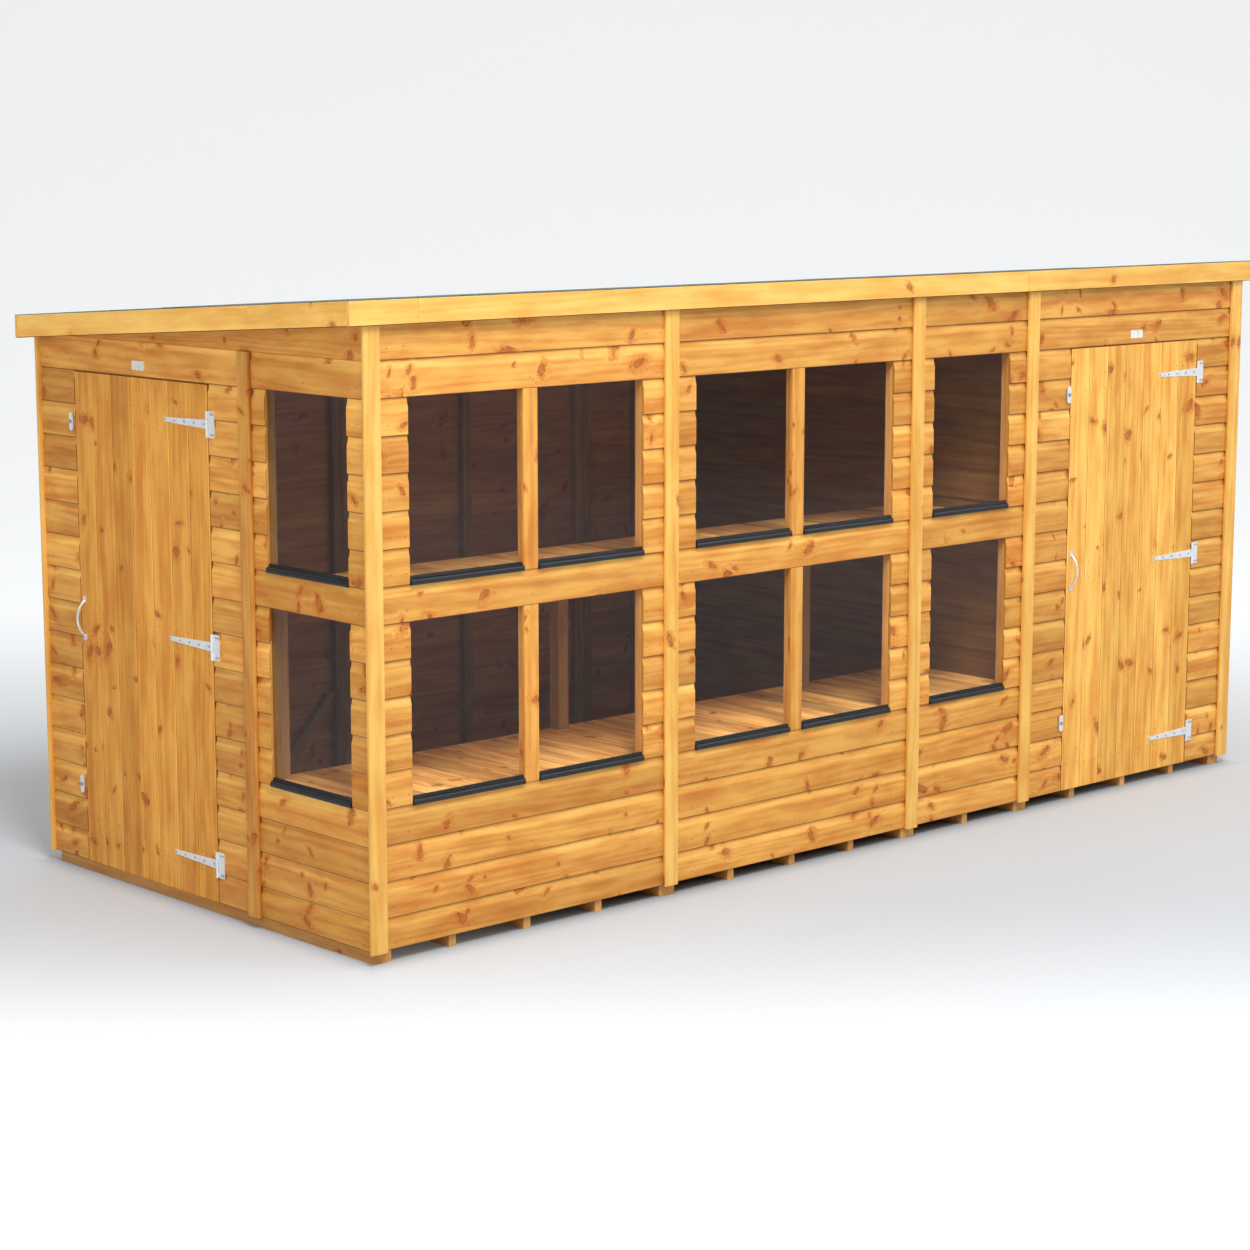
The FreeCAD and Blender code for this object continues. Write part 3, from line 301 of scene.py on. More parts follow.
class Stock:
    """Lofted pieces of one mesh, with a grain map in metres and one tone for each piece."""

    def __init__(self, seed):
        self.random = np.random.default_rng(seed)
        self.points = []
        self.faces = []
        self.grain = []
        self.tones = []
        self.count = 0

    def loft(self, rings, run, girth, shade=1.0):
        """Skin over closed rings: point (piece, station, k) joins its neighbours in station and k, and the
        first and last rings are closed flat. run is the distance of each station, girth the distance round,
        and shade is the painted shade and painted highlight multiplied into the colour at each point round
        the ring."""
        pieces, stations, sides = rings.shape[:3]
        shift = self.random.uniform(0.0, MAP_SPREAD, (pieces, 2))
        tones = np.ones((pieces, 4))
        tones[:, :2] = self.random.uniform(0.0, 1.0, (pieces, 2))
        tones[:, 2] = 0.0
        ends = tones.copy()
        ends[:, 2] = 1.0
        index = np.arange(pieces * stations * sides).reshape(pieces, stations, sides)
        after = np.roll(index, -1, axis=2)
        quads = np.stack([index[:, :-1], index[:, 1:], after[:, 1:], after[:, :-1]], axis=-1)
        along = np.broadcast_to(run, (pieces, stations)) + shift[:, :1]
        around = np.broadcast_to(girth, (pieces, sides + 1)) + shift[:, 1:]
        near, far, low, high = along[:, :-1], along[:, 1:], around[:, :-1], around[:, 1:]
        along = np.stack([near, far, far, near], axis=-1)[:, :, None]
        around = np.stack([low, low, high, high], axis=-1)[:, None]
        maps = np.stack(np.broadcast_arrays(along, around), axis=-1)
        shade = np.broadcast_to(shade, (sides,))
        beyond = np.roll(shade, -1)
        dim = np.broadcast_to(np.stack([shade, shade, beyond, beyond], axis=-1), quads.shape)
        caps = np.stack([index[:, 0], index[:, -1, ::-1]], axis=1)
        spread = np.linspace(0.0, CAP_SPREAD, sides)
        cap_map = np.stack([spread * 0.2, spread], axis=-1) + shift[:, None, None, :]
        if signed_volume(rings[0]) < 0.0:
            quads = quads[..., ::-1]
            maps = maps[..., ::-1, :]
            caps = caps[..., ::-1]
            dim = dim[..., ::-1]
        tones_and_painted_shade = np.repeat(tones, 4 * sides * (stations - 1), axis=0)
        # Alpha of each corner: its painted shade and painted highlight
        tones_and_painted_shade[:, 3] = dim.ravel()
        self.points.append(rings.reshape(-1, 3))
        self.faces += (quads.reshape(-1, 4) + self.count).tolist()
        self.faces += (caps.reshape(-1, sides) + self.count).tolist()
        self.grain += [maps.reshape(-1, 2), np.broadcast_to(cap_map, (pieces, 2, sides, 2)).reshape(-1, 2)]
        self.tones += [tones_and_painted_shade, np.repeat(ends, 2 * sides, axis=0)]
        self.count += rings[..., 0].size

    def sticks(self, starts, direction, across, up, lengths, profile, ease, shade=1.0):
        """Straight boards: a closed profile in the plane of across and up, carried from each start along
        direction, and drawn in by ease at both ends so that the end edges are rounded."""
        starts = np.atleast_2d(starts)
        lengths = np.broadcast_to(lengths, len(starts)).astype(float)
        middle = (profile.max(axis=0) + profile.min(axis=0)) / 2.0
        tight = middle + (profile - middle) * (1.0 - 2.0 * ease / np.ptp(profile, axis=0))
        loops = np.stack([tight, profile, profile, tight])
        stops = np.stack([0 * lengths, 0 * lengths + ease, lengths - ease, lengths], axis=1)
        rings = (starts[:, None, None, :] + stops[:, :, None, None] * direction
                 + loops[None, :, :, :1] * across + loops[None, :, :, 1:] * up)
        self.loft(rings, stops * np.linalg.norm(direction), girth_of(profile), shade)

    def upright(self, wall, along, low, high, profile, ease, shade=1.0, inward=0.0):
        """Boards that stand up a wall, with a profile along and inward."""
        foot = wall.at(along, inward, low)
        self.sticks(foot, UP, wall.along, wall.inward, high - low, profile, ease, shade)

    def level(self, wall, near, far, up, profile, ease, shade=1.0, inward=0.0):
        """Boards that lie along a wall, with a profile inward and up."""
        start = wall.at(near, inward, up)
        self.sticks(start, wall.along, wall.inward, UP, far - near, profile, ease, shade)

    def piece(self, name, finish, replaced=(), body="shed"):
        """Finish the object: one mesh, riding on a body."""
        mesh = bpy.data.meshes.new(name)
        mesh.from_pydata(np.concatenate(self.points), [], self.faces)
        grain = mesh.uv_layers.new(name="grain")
        grain.data.foreach_set("uv", np.concatenate(self.grain).astype(np.float32).ravel())
        tones = mesh.color_attributes.new(name="board", type="FLOAT_COLOR", domain="CORNER")
        tones.data.foreach_set("color", np.concatenate(self.tones).astype(np.float32).ravel())
        item = add_smooth(mesh, finish)
        mesh.set_sharp_from_angle(angle=SMOOTH_ANGLE)
        mesh.update()
        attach(item, body)
        if replaced:
            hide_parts(*replaced)


def add_smooth(mesh, finish):
    """Object of a mesh, shaded smooth, with its finish."""
    mesh.polygons.foreach_set("use_smooth", np.ones(len(mesh.polygons), dtype=bool))
    mesh.materials.append(FINISHES[finish])
    return add_object(mesh.name, mesh)


def add_object(name, data):
    item = bpy.data.objects.new(name, data)
    bpy.context.scene.collection.objects.link(item)
    return item


def girth_of(profile):
    """Distance round a closed profile at each of its points and back at the first."""
    steps = np.linalg.norm(np.roll(profile, -1, axis=0) - profile, axis=1)
    return np.concatenate([[0.0], np.cumsum(steps)])


def signed_volume(rings):
    """Volume inside one loft, from the tetrahedra between its middle and its faces; negative inside out."""
    rings = rings - rings.mean(axis=(0, 1))
    after = np.roll(rings, -1, axis=1)
    first, second, third, fourth = rings[:-1], rings[1:], after[1:], after[:-1]
    total = np.sum(first * np.cross(second, third)) + np.sum(first * np.cross(third, fourth))
    for sign, end in ((1.0, 0), (-1.0, -1)):
        total += sign * np.sum(rings[end].mean(axis=0) * np.cross(rings[end], after[end]))
    return total


def eased(corners, radius, steps=4):
    """Closed profile whose corners are rounded: each corner becomes a curve whose ends lie radius away from
    it on both edges and whose middle control point is the corner."""
    corners = np.asarray(corners, dtype=float)
    radius = np.broadcast_to(radius, len(corners))[:, None]
    before = np.roll(corners, 1, axis=0) - corners
    after = np.roll(corners, -1, axis=0) - corners
    entry = corners + before / np.linalg.norm(before, axis=1, keepdims=True) * radius
    leave = corners + after / np.linalg.norm(after, axis=1, keepdims=True) * radius
    t = np.linspace(0.0, 1.0, steps)[None, :, None]
    curve = (1 - t) ** 2 * entry[:, None] + 2 * t * (1 - t) * corners[:, None] + t ** 2 * leave[:, None]
    return curve.reshape(-1, 2)


def oblong(low_x, high_x, low_y, high_y, radius, steps=4):
    """Rounded rectangle."""
    return eased([(low_x, low_y), (high_x, low_y), (high_x, high_y), (low_x, high_y)], radius, steps)


def shiplap_profile(sizes, foot=0.0, tongue=True):
    """Section of a shiplap board, inward and up: flat face, hollow along the top on a circle that meets the
    tongue upright, tongue behind the next board, and a rebate at the back of the foot."""
    depth = sizes.cove_depth
    rise = sizes.cove_height
    radius = (depth * depth + rise * rise) / (2.0 * depth)
    angle = np.linspace(math.asin(rise / radius), 0.0, 9)
    inward = depth - radius + radius * np.cos(angle)
    hollow = np.stack([inward, sizes.course - radius * np.sin(angle)], axis=1)
    ease = sizes.edge
    turn = np.linspace(0.0, math.pi / 2, 4)
    toe = np.stack([ease - ease * np.sin(turn), foot + ease - ease * np.cos(turn)], axis=1)
    thick = sizes.board_thk
    head = sizes.course + sizes.lap - sizes.lap_gap
    top = [(depth, head), (thick, head)] if tongue else [(thick, sizes.course)]
    lip = depth - sizes.lap_gap
    back = [(thick, foot)] if foot else [(thick, sizes.lap), (lip, sizes.lap), (lip, 0.0)]
    crease = sizes.course - rise
    line = np.array([[0.0, foot + 2.6 * ease], [0.0, (foot + crease) / 2.0], [0.0, crease - 5.0 * ease]])
    return np.concatenate([toe, line, hollow, top, back])


def shiplap_shade(sizes, profile):
    """Painted shade and highlight of a shiplap board at each point of its profile: painted shadow under the
    toe and at the very top of the hollow, painted highlight over the rest of the hollow and on the crease,
    painted shade that deepens a little towards the foot of the face, and painted shade on the back."""
    deep, high = profile.T
    low = high.min()
    toe = np.clip((high - low) / (2.6 * sizes.edge), 0.0, 1.0)
    hollow = np.clip((sizes.course - high) / sizes.cove_height, 0.0, 1.0)
    joint = np.clip(hollow / 0.10, 0.0, 1.0)
    crease = sizes.course - sizes.cove_height
    fade = np.clip((high - low) / (crease - low), 0.0, 1.0)
    face = 0.20 + 0.76 * toe + 0.06 * fade
    band = 0.45 + 0.75 * joint - 0.10 * hollow
    shade = np.where(high < crease + 2.0 * sizes.edge, face, band)
    shade = np.where(np.abs(high - crease) < 2.0 * sizes.edge, 1.10, shade)
    return np.where(deep > 0.9 * sizes.board_thk, INNER_SHADE, shade)


# Shader helpers
class Term:
    """A value in a shader tree. Each sum adds one node to the tree and gives its result."""

    def __init__(self, socket):
        self.socket = socket
        self.tree = socket.id_data

    def math(self, operation, *others):
        return Term(add_node(self.tree, "Math", self, *others, operation=operation).outputs[0])

    def __add__(self, other):
        return self.math("ADD", other)

    def __sub__(self, other):
        return self.math("SUBTRACT", other)

    def __mul__(self, other):
        return self.math("MULTIPLY", other)

    def __truediv__(self, other):
        return self.math("DIVIDE", other)

    def __pow__(self, other):
        return self.math("POWER", other)

    def ease(self, low, high, start=0.0, end=1.0):
        """Smooth step from start to end while the value goes from low to high."""
        steps = (self, low, high, start, end)
        return Term(add_node(self.tree, "MapRange", *steps, interpolation_type="SMOOTHSTEP").outputs[0])

    def parts(self):
        """The three parts of a place or colour."""
        return [Term(socket) for socket in add_node(self.tree, "SeparateXYZ", self).outputs]


def add_node(tree, kind, *values, **settings):
    """New shader node, with its settings and its first inputs."""
    node = tree.nodes.new("ShaderNode" + kind)
    for name, setting in settings.items():
        setattr(node, name, setting)
    for socket, value in zip(node.inputs, values):
        feed(socket, value)
    return node


def feed(socket, value):
    """Link a term to an input, or set the input to a plain value."""
    if isinstance(value, Term):
        value.tree.links.new(value.socket, socket)
    else:
        socket.default_value = value


def feed_all(node_inputs, **values):
    """Feed inputs by name, with _ for each space in a name."""
    for name, value in values.items():
        feed(node_inputs[name.replace("_", " ")], value)


def object_place(tree):
    return Term(add_node(tree, "TexCoord").outputs["Object"])


def joined(x, y, z=0.0):
    return Term(add_node(x.tree, "CombineXYZ", x, y, z).outputs[0])


def cloud(place, scale=1.0, detail=2.0, rough=0.5, dimensions="3D"):
    """Soft noise from 0 to 1."""
    node = add_node(place.tree, "TexNoise", place, noise_dimensions=dimensions)
    feed_all(node.inputs, Scale=scale, Detail=detail, Roughness=rough)
    return Term(node.outputs["Fac"])


def streaks(along, across, detail=2.0, rough=0.5):
    """Flat noise with its own scale along and across."""
    return cloud(joined(along, across), 1.0, detail, rough, "2D")


def cells(tree, dimensions, randomness, **inputs):
    """Outputs of a texture of cells round scattered points."""
    node = add_node(tree, "TexVoronoi", voronoi_dimensions=dimensions)
    feed_all(node.inputs, **{"Scale": 1.0, "Randomness": randomness, **inputs})
    return {socket.name: Term(socket) for socket in node.outputs}


def blend(share, first, second, mode="MIX"):
    """Colour mixed from two, by a share of the second."""
    tree = next(value.tree for value in (share, first, second) if isinstance(value, Term))
    node = add_node(tree, "Mix", share, data_type="RGBA", blend_type=mode, clamp_factor=True)
    for socket, value in zip(node.inputs[6:8], (first, second)):
        feed(socket, value if isinstance(value, Term) else (*value, 1.0))
    return Term(node.outputs[2])


def tinted(ground, red, green=None, blue=None):
    """Colour multiplied by one value, or by one for each of its parts."""
    return blend(1.0, ground, joined(red, green or red, blue or red), "MULTIPLY")


def bumped(height, distance, strength):
    node = add_node(height.tree, "Bump")
    feed_all(node.inputs, Strength=strength, Distance=distance, Height=height)
    return Term(node.outputs["Normal"])


FINISHES = {}


def new_finish(name):
    """Material kept under its name. Gives its tree and the inputs of its shader."""
    material = bpy.data.materials.new(name)
    material.use_nodes = True
    FINISHES[name] = material
    return material.node_tree, material.node_tree.nodes["Principled BSDF"].inputs


# Wood: length and height of a knot's cell, distance between whorls, and cells kept for each whorl
KNOT_LONG = 0.10
KNOT_HIGH = 0.056
WHORL_PITCH = 0.36
WHORL_STEP = 12.0


def pine_knots(grain, along, across, share):
    """Knots gathered in whorls along the board. Each cell round a whorl has one spot, which is a knot by
    chance: a leaning oval with a broken dark ring, a heart that fades to one end, and a halo. Gives the mark
    of the knot, its halo, and how far the grain is pushed aside."""
    whorl = cells(along.tree, "1D", 0.7, W=along / WHORL_PITCH)["W"]
    home = (whorl * 7.0).math("FLOOR") * WHORL_STEP
    column = (along - whorl * WHORL_PITCH) / KNOT_LONG + home
    row = across / KNOT_HIGH
    spot = cells(along.tree, "2D", 0.95, Vector=joined(column, row))
    spot_column, spot_row, _ = spot["Position"].parts()
    off_long = (column - spot_column) * KNOT_LONG
    off_high = (row - spot_row) * KNOT_HIGH
    chance, sizing, leaning = spot["Color"].parts()
    limit = share * (spot_column - home).math("ABSOLUTE").ease(0.55, 0.9, 1.0, 0.06)
    there = chance.math("LESS_THAN", limit)
    radius = sizing ** 2.0 * 0.0092 + 0.0046
    turn = leaning * 2.6 + 0.27
    cosine = turn.math("COSINE")
    sine = turn.math("SINE")
    stretch = chance / limit.math("MAXIMUM", 0.01) * 1.5 + 1.0
    lengthwise = (off_long * cosine + off_high * sine) / stretch
    sideways = off_high * cosine - off_long * sine
    uneven = cloud(grain, 60.0, dimensions="2D") * 1.3 + 0.35
    reach = (lengthwise ** 2.0 + sideways ** 2.0).math("SQRT") * uneven / radius
    broken = cloud(grain, 130.0, dimensions="2D").ease(0.35, 0.6)
    ring = reach.ease(0.65, 0.9) * reach.ease(0.95, 1.2, 1.0, 0.0) * broken
    fading = (lengthwise / radius).ease(-1.2, 1.2, 0.25, 1.0)
    heart = reach.ease(0.7, 1.1, 1.0, 0.0) * fading * 0.62
    flame = reach * (broken * 0.5 + 0.7)
    pushed = off_high * there * reach.ease(0.0, 5.0, 1.0, 0.0) * -0.8
    return there * ring.math("MAXIMUM", heart), there * flame.ease(0.6, 3.0, 1.0, 0.0), pushed


def pine_group():
    """Pine figure on a map in metres along and across the grain: year rings drawn as long streaks, bent round
    knots, with broad patches and fine fibre on top."""
    name = "pine_figure"
    if name in bpy.data.node_groups:
        return bpy.data.node_groups[name]
    tree = bpy.data.node_groups.new(name, "ShaderNodeTree")
    tree.interface.new_socket("Grain", in_out="INPUT", socket_type="NodeSocketVector")
    for label in ("Knots", "Rings"):
        tree.interface.new_socket(label, in_out="INPUT", socket_type="NodeSocketFloat")
    for label in ("Figure", "Fibre", "Knot", "Rim"):
        tree.interface.new_socket(label, in_out="OUTPUT", socket_type="NodeSocketFloat")
    given = tree.nodes.new("NodeGroupInput").outputs
    grain, share, rings = (Term(given[label]) for label in ("Grain", "Knots", "Rings"))
    along, across, _ = grain.parts()
    drift = streaks(along * 0.9, across * 3.0, 1.0)
    across = (drift - 0.5) * 0.022 + across
    knot, rim, pushed = pine_knots(grain, along, across, share)
    bent = pushed + across
    phase = bent * rings + streaks(along * 0.5, bent * 7.0) * 34.0
    wave = (phase.math("SINE") * 0.5 + 0.5) ** 1.6
    streak = streaks(along * 1.6, bent * 130.0, 4.0, 0.62)
    broad = streaks(along * 0.9, bent * 15.0)
    patch = streaks(along * 5.0, bent * 22.0, 3.0)
    figure = wave * 0.08 + streak * 0.14 + broad * 0.36 + patch * 0.42
    fibre = streaks(along * 22.0, bent * 900.0)
    feed_all(tree.nodes.new("NodeGroupOutput").inputs, Figure=figure, Fibre=fibre, Knot=knot, Rim=rim)
    return tree


def axis_map(tree, axis, count, first, pitch):
    """Grain map of a CAD node from Object coordinates: along one axis, and across on the sum of the others.
    Boards of the given pitch, counted from first along the count axis, get their own stretch of the map and
    their own tone."""
    parts = dict(zip("XYZ", object_place(tree).parts()))
    number = ((parts[count] - first) / pitch).math("FLOOR")
    chance = add_node(tree, "TexWhiteNoise", noise_dimensions="1D")
    feed(chance.inputs["W"], number)
    along = parts.pop(axis)
    one, other = parts.values()
    tones = Term(chance.outputs["Color"]).parts()
    return joined(Term(chance.outputs["Value"]) * 30.0 + along, one + other), tones


def wood(name, shades, colours, knots, rings=210.0, tone=0.30, ends=0.40, swing=1.0,
         axis=None, count="X", first=0.0, pitch=0.1):
    """Stained pine: figure between a light and a dark wood, knots with their rims, one tone a board, and bump
    from the fibre. Boards made here carry the map grain and the tones board; CAD nodes use their axis."""
    light, dark = shades
    tree, shader = new_finish(name)
    if axis:
        grain, (bright, warm, _) = axis_map(tree, axis, count, first, pitch)
    else:
        grain = Term(add_node(tree, "UVMap", uv_map="grain").outputs["UV"])
        marks = add_node(tree, "Attribute", attribute_name="board").outputs
        bright, warm, end = Term(marks["Color"]).parts()
    group = add_node(tree, "Group", node_tree=pine_group())
    feed_all(group.inputs, Grain=grain, Knots=knots, Rings=rings)
    figure, fibre, knot, rim = (Term(socket) for socket in group.outputs)
    ground = blend(figure.ease(0.28, 0.72), light, dark)
    ground = tinted(ground, fibre * 0.24 + 0.88)
    cool = (1.0, 1.0 - 0.02 * swing, 1.0 + 0.06 * swing)
    hot = (1.0 + 0.02 * swing, 1.0 - 0.07 * swing, 1.0 - 0.20 * swing)
    heat = bright * -0.6 + (warm * 0.4 + 0.6)
    ground = blend(1.0, ground, blend(heat, cool, hot), "MULTIPLY")
    ground = tinted(ground, bright * tone + (1.0 - 0.55 * tone))
    ground = blend(rim * 0.68, ground, colours.knot_rim)
    ground = blend(knot * 0.90, ground, colours.knot)
    if not axis:
        ground = blend(end * ends, ground, scaled(dark, 0.55))
        # Painted shade (alpha below one) and painted highlight (alpha above one) of each board corner,
        # multiplied into the colour
        painted_shade_share = Term(marks["Alpha"]).math("MINIMUM", 1.0)
        painted_highlight_share = Term(marks["Alpha"]).math("MAXIMUM", 1.0)
        stain = [painted_shade_share ** deep * painted_highlight_share ** pale for deep, pale in ((1.0, 1.0), (1.35, 1.7), (1.6, 2.6))]
        ground = tinted(ground, *stain)
    height = figure * 0.7 + fibre * 0.5
    feed_all(shader, Base_Color=ground, Roughness=fibre * 0.14 + 0.55, Normal=bumped(height, 0.0002, 0.6),
             Specular_IOR_Level=0.32)


# Other finishes
def sill_finish(face):
    """Dark moulded plastic: faint clouding, fine scuffs along the strip."""
    tree, shader = new_finish("drip_sill")
    place = object_place(tree)
    soft = cloud(place, 14.0, 3.0, 0.55)
    grit = cloud(place, 900.0)
    ground = blend(soft.ease(0.3, 0.7), scaled(face, 0.72), scaled(face, 1.35))
    feed_all(shader, Base_Color=ground, Roughness=soft * 0.16 + 0.26, Normal=bumped(grit, 0.0001, 0.3))


def zinc_finish(name, face, metallic):
    """Zinc plating: angular spangle of many crystals, with dull patches scattered by a cloud."""
    tree, shader = new_finish(name)
    place = object_place(tree)
    facet = cells(tree, "3D", 1.0, Scale=160.0, Vector=place)["Color"].parts()[0]
    dull = cloud(place, 30.0, 3.0, 0.6)
    ground = blend(facet, scaled(face, 0.84), face)
    ground = blend(dull.ease(0.58, 0.9), ground, scaled(face, 0.5))
    feed_all(shader, Base_Color=ground, Roughness=facet * 0.16 + (dull * 0.2 + 0.22), Metallic=metallic,
             Normal=bumped(facet, 0.00006, 0.5))


def felt_finish(face, dust):
    """Mineral felt: fine coloured grit pressed into a sheet, with bald and dusty patches."""
    tree, shader = new_finish("roof_felt")
    place = object_place(tree)
    grit = cells(tree, "3D", 1.0, Scale=620.0, Vector=place)
    patch = cloud(place, 2.3, 4.0, 0.6)
    ground = blend(grit["Color"].parts()[0], scaled(face, 0.45), scaled(face, 1.55))
    ground = blend(patch.ease(0.45, 0.75) * 0.35, ground, dust)
    feed_all(shader, Base_Color=ground, Roughness=0.93, Normal=bumped(grit["Distance"], 0.0006, 0.7))


def glass_finish():
    """Clear sheet: plain transmission, with a faint film that dulls it unevenly, and open to shadow rays."""
    tree, shader = new_finish("pane")
    film = cloud(object_place(tree), 3.5, 3.0)
    ground = blend(film, (0.90, 0.90, 0.905), (0.94, 0.94, 0.945))
    feed_all(shader, Base_Color=ground, Roughness=film * 0.02, Transmission_Weight=1.0, IOR=1.24)
    open_way = add_node(tree, "BsdfTransparent", (0.95, 0.95, 0.95, 1.0))
    ray = Term(add_node(tree, "LightPath").outputs["Is Shadow Ray"])
    solid = Term(tree.nodes["Principled BSDF"].outputs["BSDF"])
    both = add_node(tree, "MixShader", ray, solid, Term(open_way.outputs["BSDF"]))
    feed(tree.nodes["Material Output"].inputs["Surface"], Term(both.outputs["Shader"]))


def plate_finish(face, wear):
    """Bare enamelled plate: faint mottle and dull patches of wear."""
    tree, shader = new_finish("blank_plate")
    soft = cloud(object_place(tree), 60.0, 3.0, 0.6)
    feed_all(shader, Base_Color=blend(soft.ease(0.4, 0.75), face, wear), Roughness=soft * 0.25 + 0.3)


def nail_finish(face, stain):
    """Dulled steel nail heads with brown tarnish."""
    tree, shader = new_finish("nail_steel")
    rust = cloud(object_place(tree), 45.0, 2.0, 0.6)
    ground = blend(rust.ease(0.35, 0.7), face, stain)
    feed_all(shader, Base_Color=ground, Roughness=rust * 0.3 + 0.55, Metallic=0.1)


# Redder stain of the left door, as a share of the door colours
LEFT_DOOR_CAST = (0.88, 0.77, 0.62)


def make_finishes(colours, sizes):
    """All finishes, kept by name."""
    wall = (colours.wall_light, colours.wall_dark)
    inner = (colours.inner_light, colours.inner_dark)
    door = (colours.door_light, colours.door_dark)
    trim = (colours.trim_light, colours.trim_dark)
    bench = (colours.bench_light, colours.bench_dark)
    wood("shiplap", wall, colours, 0.50, tone=0.32)
    wood("trim", trim, colours, 0.15, rings=160.0, tone=0.14, ends=0.12, swing=0.35)
    wood("front_door_boards", door, colours, 0.42, tone=0.22)
    redder = [tuple(np.array(shade) * LEFT_DOOR_CAST) for shade in door]
    wood("left_door_boards", redder, colours, 0.42, tone=0.24)
    wood("inner_timber_x", inner, colours, 0.25, axis="X", count="Y")
    wood("inner_timber_y", inner, colours, 0.25, axis="Y", count="X")
    # Bench legs: darker copy of the inner wood, painted shade
    wood("leg_timber", [scaled(shade, LEG_SHADE) for shade in inner], colours, 0.25, axis="Z")
    laid = (
        ("bench_boards", "work_top_boards", bench, "YX", BENCH_BOARDS),
        ("floor_boards", "floor_boards", inner, "XY", FLOOR_BOARDS),
        ("roof_boards", "roof_boards", inner, "XY", ROOF_BOARDS),
    )
    for name, node, shades, (axis, across), boards in laid:
        low, high = (corner["XYZ".index(across)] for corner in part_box(node))
        first = low - sizes.board_play
        pitch = (high - low + 2.0 * sizes.board_play) / boards
        wood(name, shades, colours, 0.35, tone=0.55, axis=axis, count=across, first=first, pitch=pitch)
    wood("frame_timber", inner, colours, 0.25)
    # Far walls, their frames and the frame behind the left window: darker copies of the wall wood, painted
    # shade
    far = [scaled(shade, INNER_SHADE * FAR_SHADE) for shade in wall]
    wood("far_frame_timber", far, colours, 0.0)
    wood("far_boards", far, colours, 0.0, axis="Y", count="Z", first=seam(sizes, 0), pitch=sizes.course)
    sill_finish(colours.sill)
    zinc_finish("zinc", colours.zinc, 0.38)
    zinc_finish("handle_zinc", colours.zinc, 0.75)
    # Screw heads, hinge pins and button pivots: zinc darkened to 0.40, painted shade that makes them read as
    # dark dots
    zinc_finish("screw_zinc", scaled(colours.zinc, 0.40), 0.45)
    felt_finish(colours.felt, colours.felt_dust)
    glass_finish()
    plate_finish(colours.plate, colours.plate_wear)
    nail_finish(colours.nail, colours.nail_rust)


def dress(finish, *nodes):
    """Give carried-over CAD nodes their finish."""
    for node in nodes:
        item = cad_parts[node]
        for slot in item.material_slots:
            slot.link = "DATA"
            slot.material = FINISHES[finish]
        if not item.material_slots:
            item.data.materials.append(FINISHES[finish])


# Wall boards
def seam(sizes, number):
    """Height of the foot of a course of boards, where it meets the course below."""
    return sizes.board_foot + sizes.first_course + (number - 1) * sizes.course


def panel_boards(stock, sizes, wall, start, end, courses, gaps=()):
    """Boards of one panel. gaps lists openings as left, right, first and last course; boards in those courses
    stop on both sides, and the board under an opening has no tongue."""
    under = {first - 1 for left, right, first, last in gaps}
    rows = {"foot": [], "plain": [], "capped": []}
    for number in range(courses):
        spans = [(start, end)]
        for left, right, first, last in gaps:
            if first <= number < last:
                spans = [(start, left), (right, end)]
        kind = "foot" if number == 0 else "capped" if number in under or number == courses - 1 else "plain"
        rows[kind] += [(near, far, seam(sizes, number)) for near, far in spans]
    profiles = {
        "foot": shiplap_profile(sizes, foot=sizes.board_foot - seam(sizes, 0)),
        "plain": shiplap_profile(sizes),
        "capped": shiplap_profile(sizes, tongue=False),
    }
    for kind, boards in rows.items():
        profile = profiles[kind]
        stock.level(wall, *np.array(boards).T, profile, sizes.board_end, shiplap_shade(sizes, profile))


class SHED_OT_wall_boards(bpy.types.Operator):
    """Shiplap boards of every wall, one piece a panel or plain wall"""

    bl_idname = "shed.wall_boards"
    bl_label = "Wall boards"

    def execute(self, context):
        sizes = context.scene.shed_sizes
        for panel in PANELS:
            wall, start, end, margin = laid_out(panel, sizes)
            rows = WINDOW_COURSES if panel.columns else ((0, DOOR_COURSES),)
            gaps = [(start + margin, end - margin, first, last) for first, last in rows]
            node = panel.name.format("cladding")
            stock = Stock(panel.seed)
            panel_boards(stock, sizes, wall, start, end, panel.courses, gaps)
            stock.piece(panel.name.format("shiplap"), "shiplap", [node])
        for seed, side in enumerate(("right", "back"), 140):
            stock = Stock(seed)
            for near, far in plain_spans(side):
                panel_boards(stock, sizes, WALLS[side], near, far, SIDE_COURSES)
            stock.piece(side + "_shiplap", "shiplap", [side + "_cladding"])
        return {"FINISHED"}


# Trims
class SHED_OT_trims(bpy.types.Operator):
    """Corner trims, joint strips, mullion strips, wedges and fascias"""

    bl_idname = "shed.trims"
    bl_label = "Trims and fascias"

    def execute(self, context):
        sizes = context.scene.shed_sizes
        make_corners_and_strips(sizes)
        make_mullions(sizes)
        make_wedges(sizes)
        make_level_fascias(sizes)
        make_sloped_fascias(sizes)
        return {"FINISHED"}


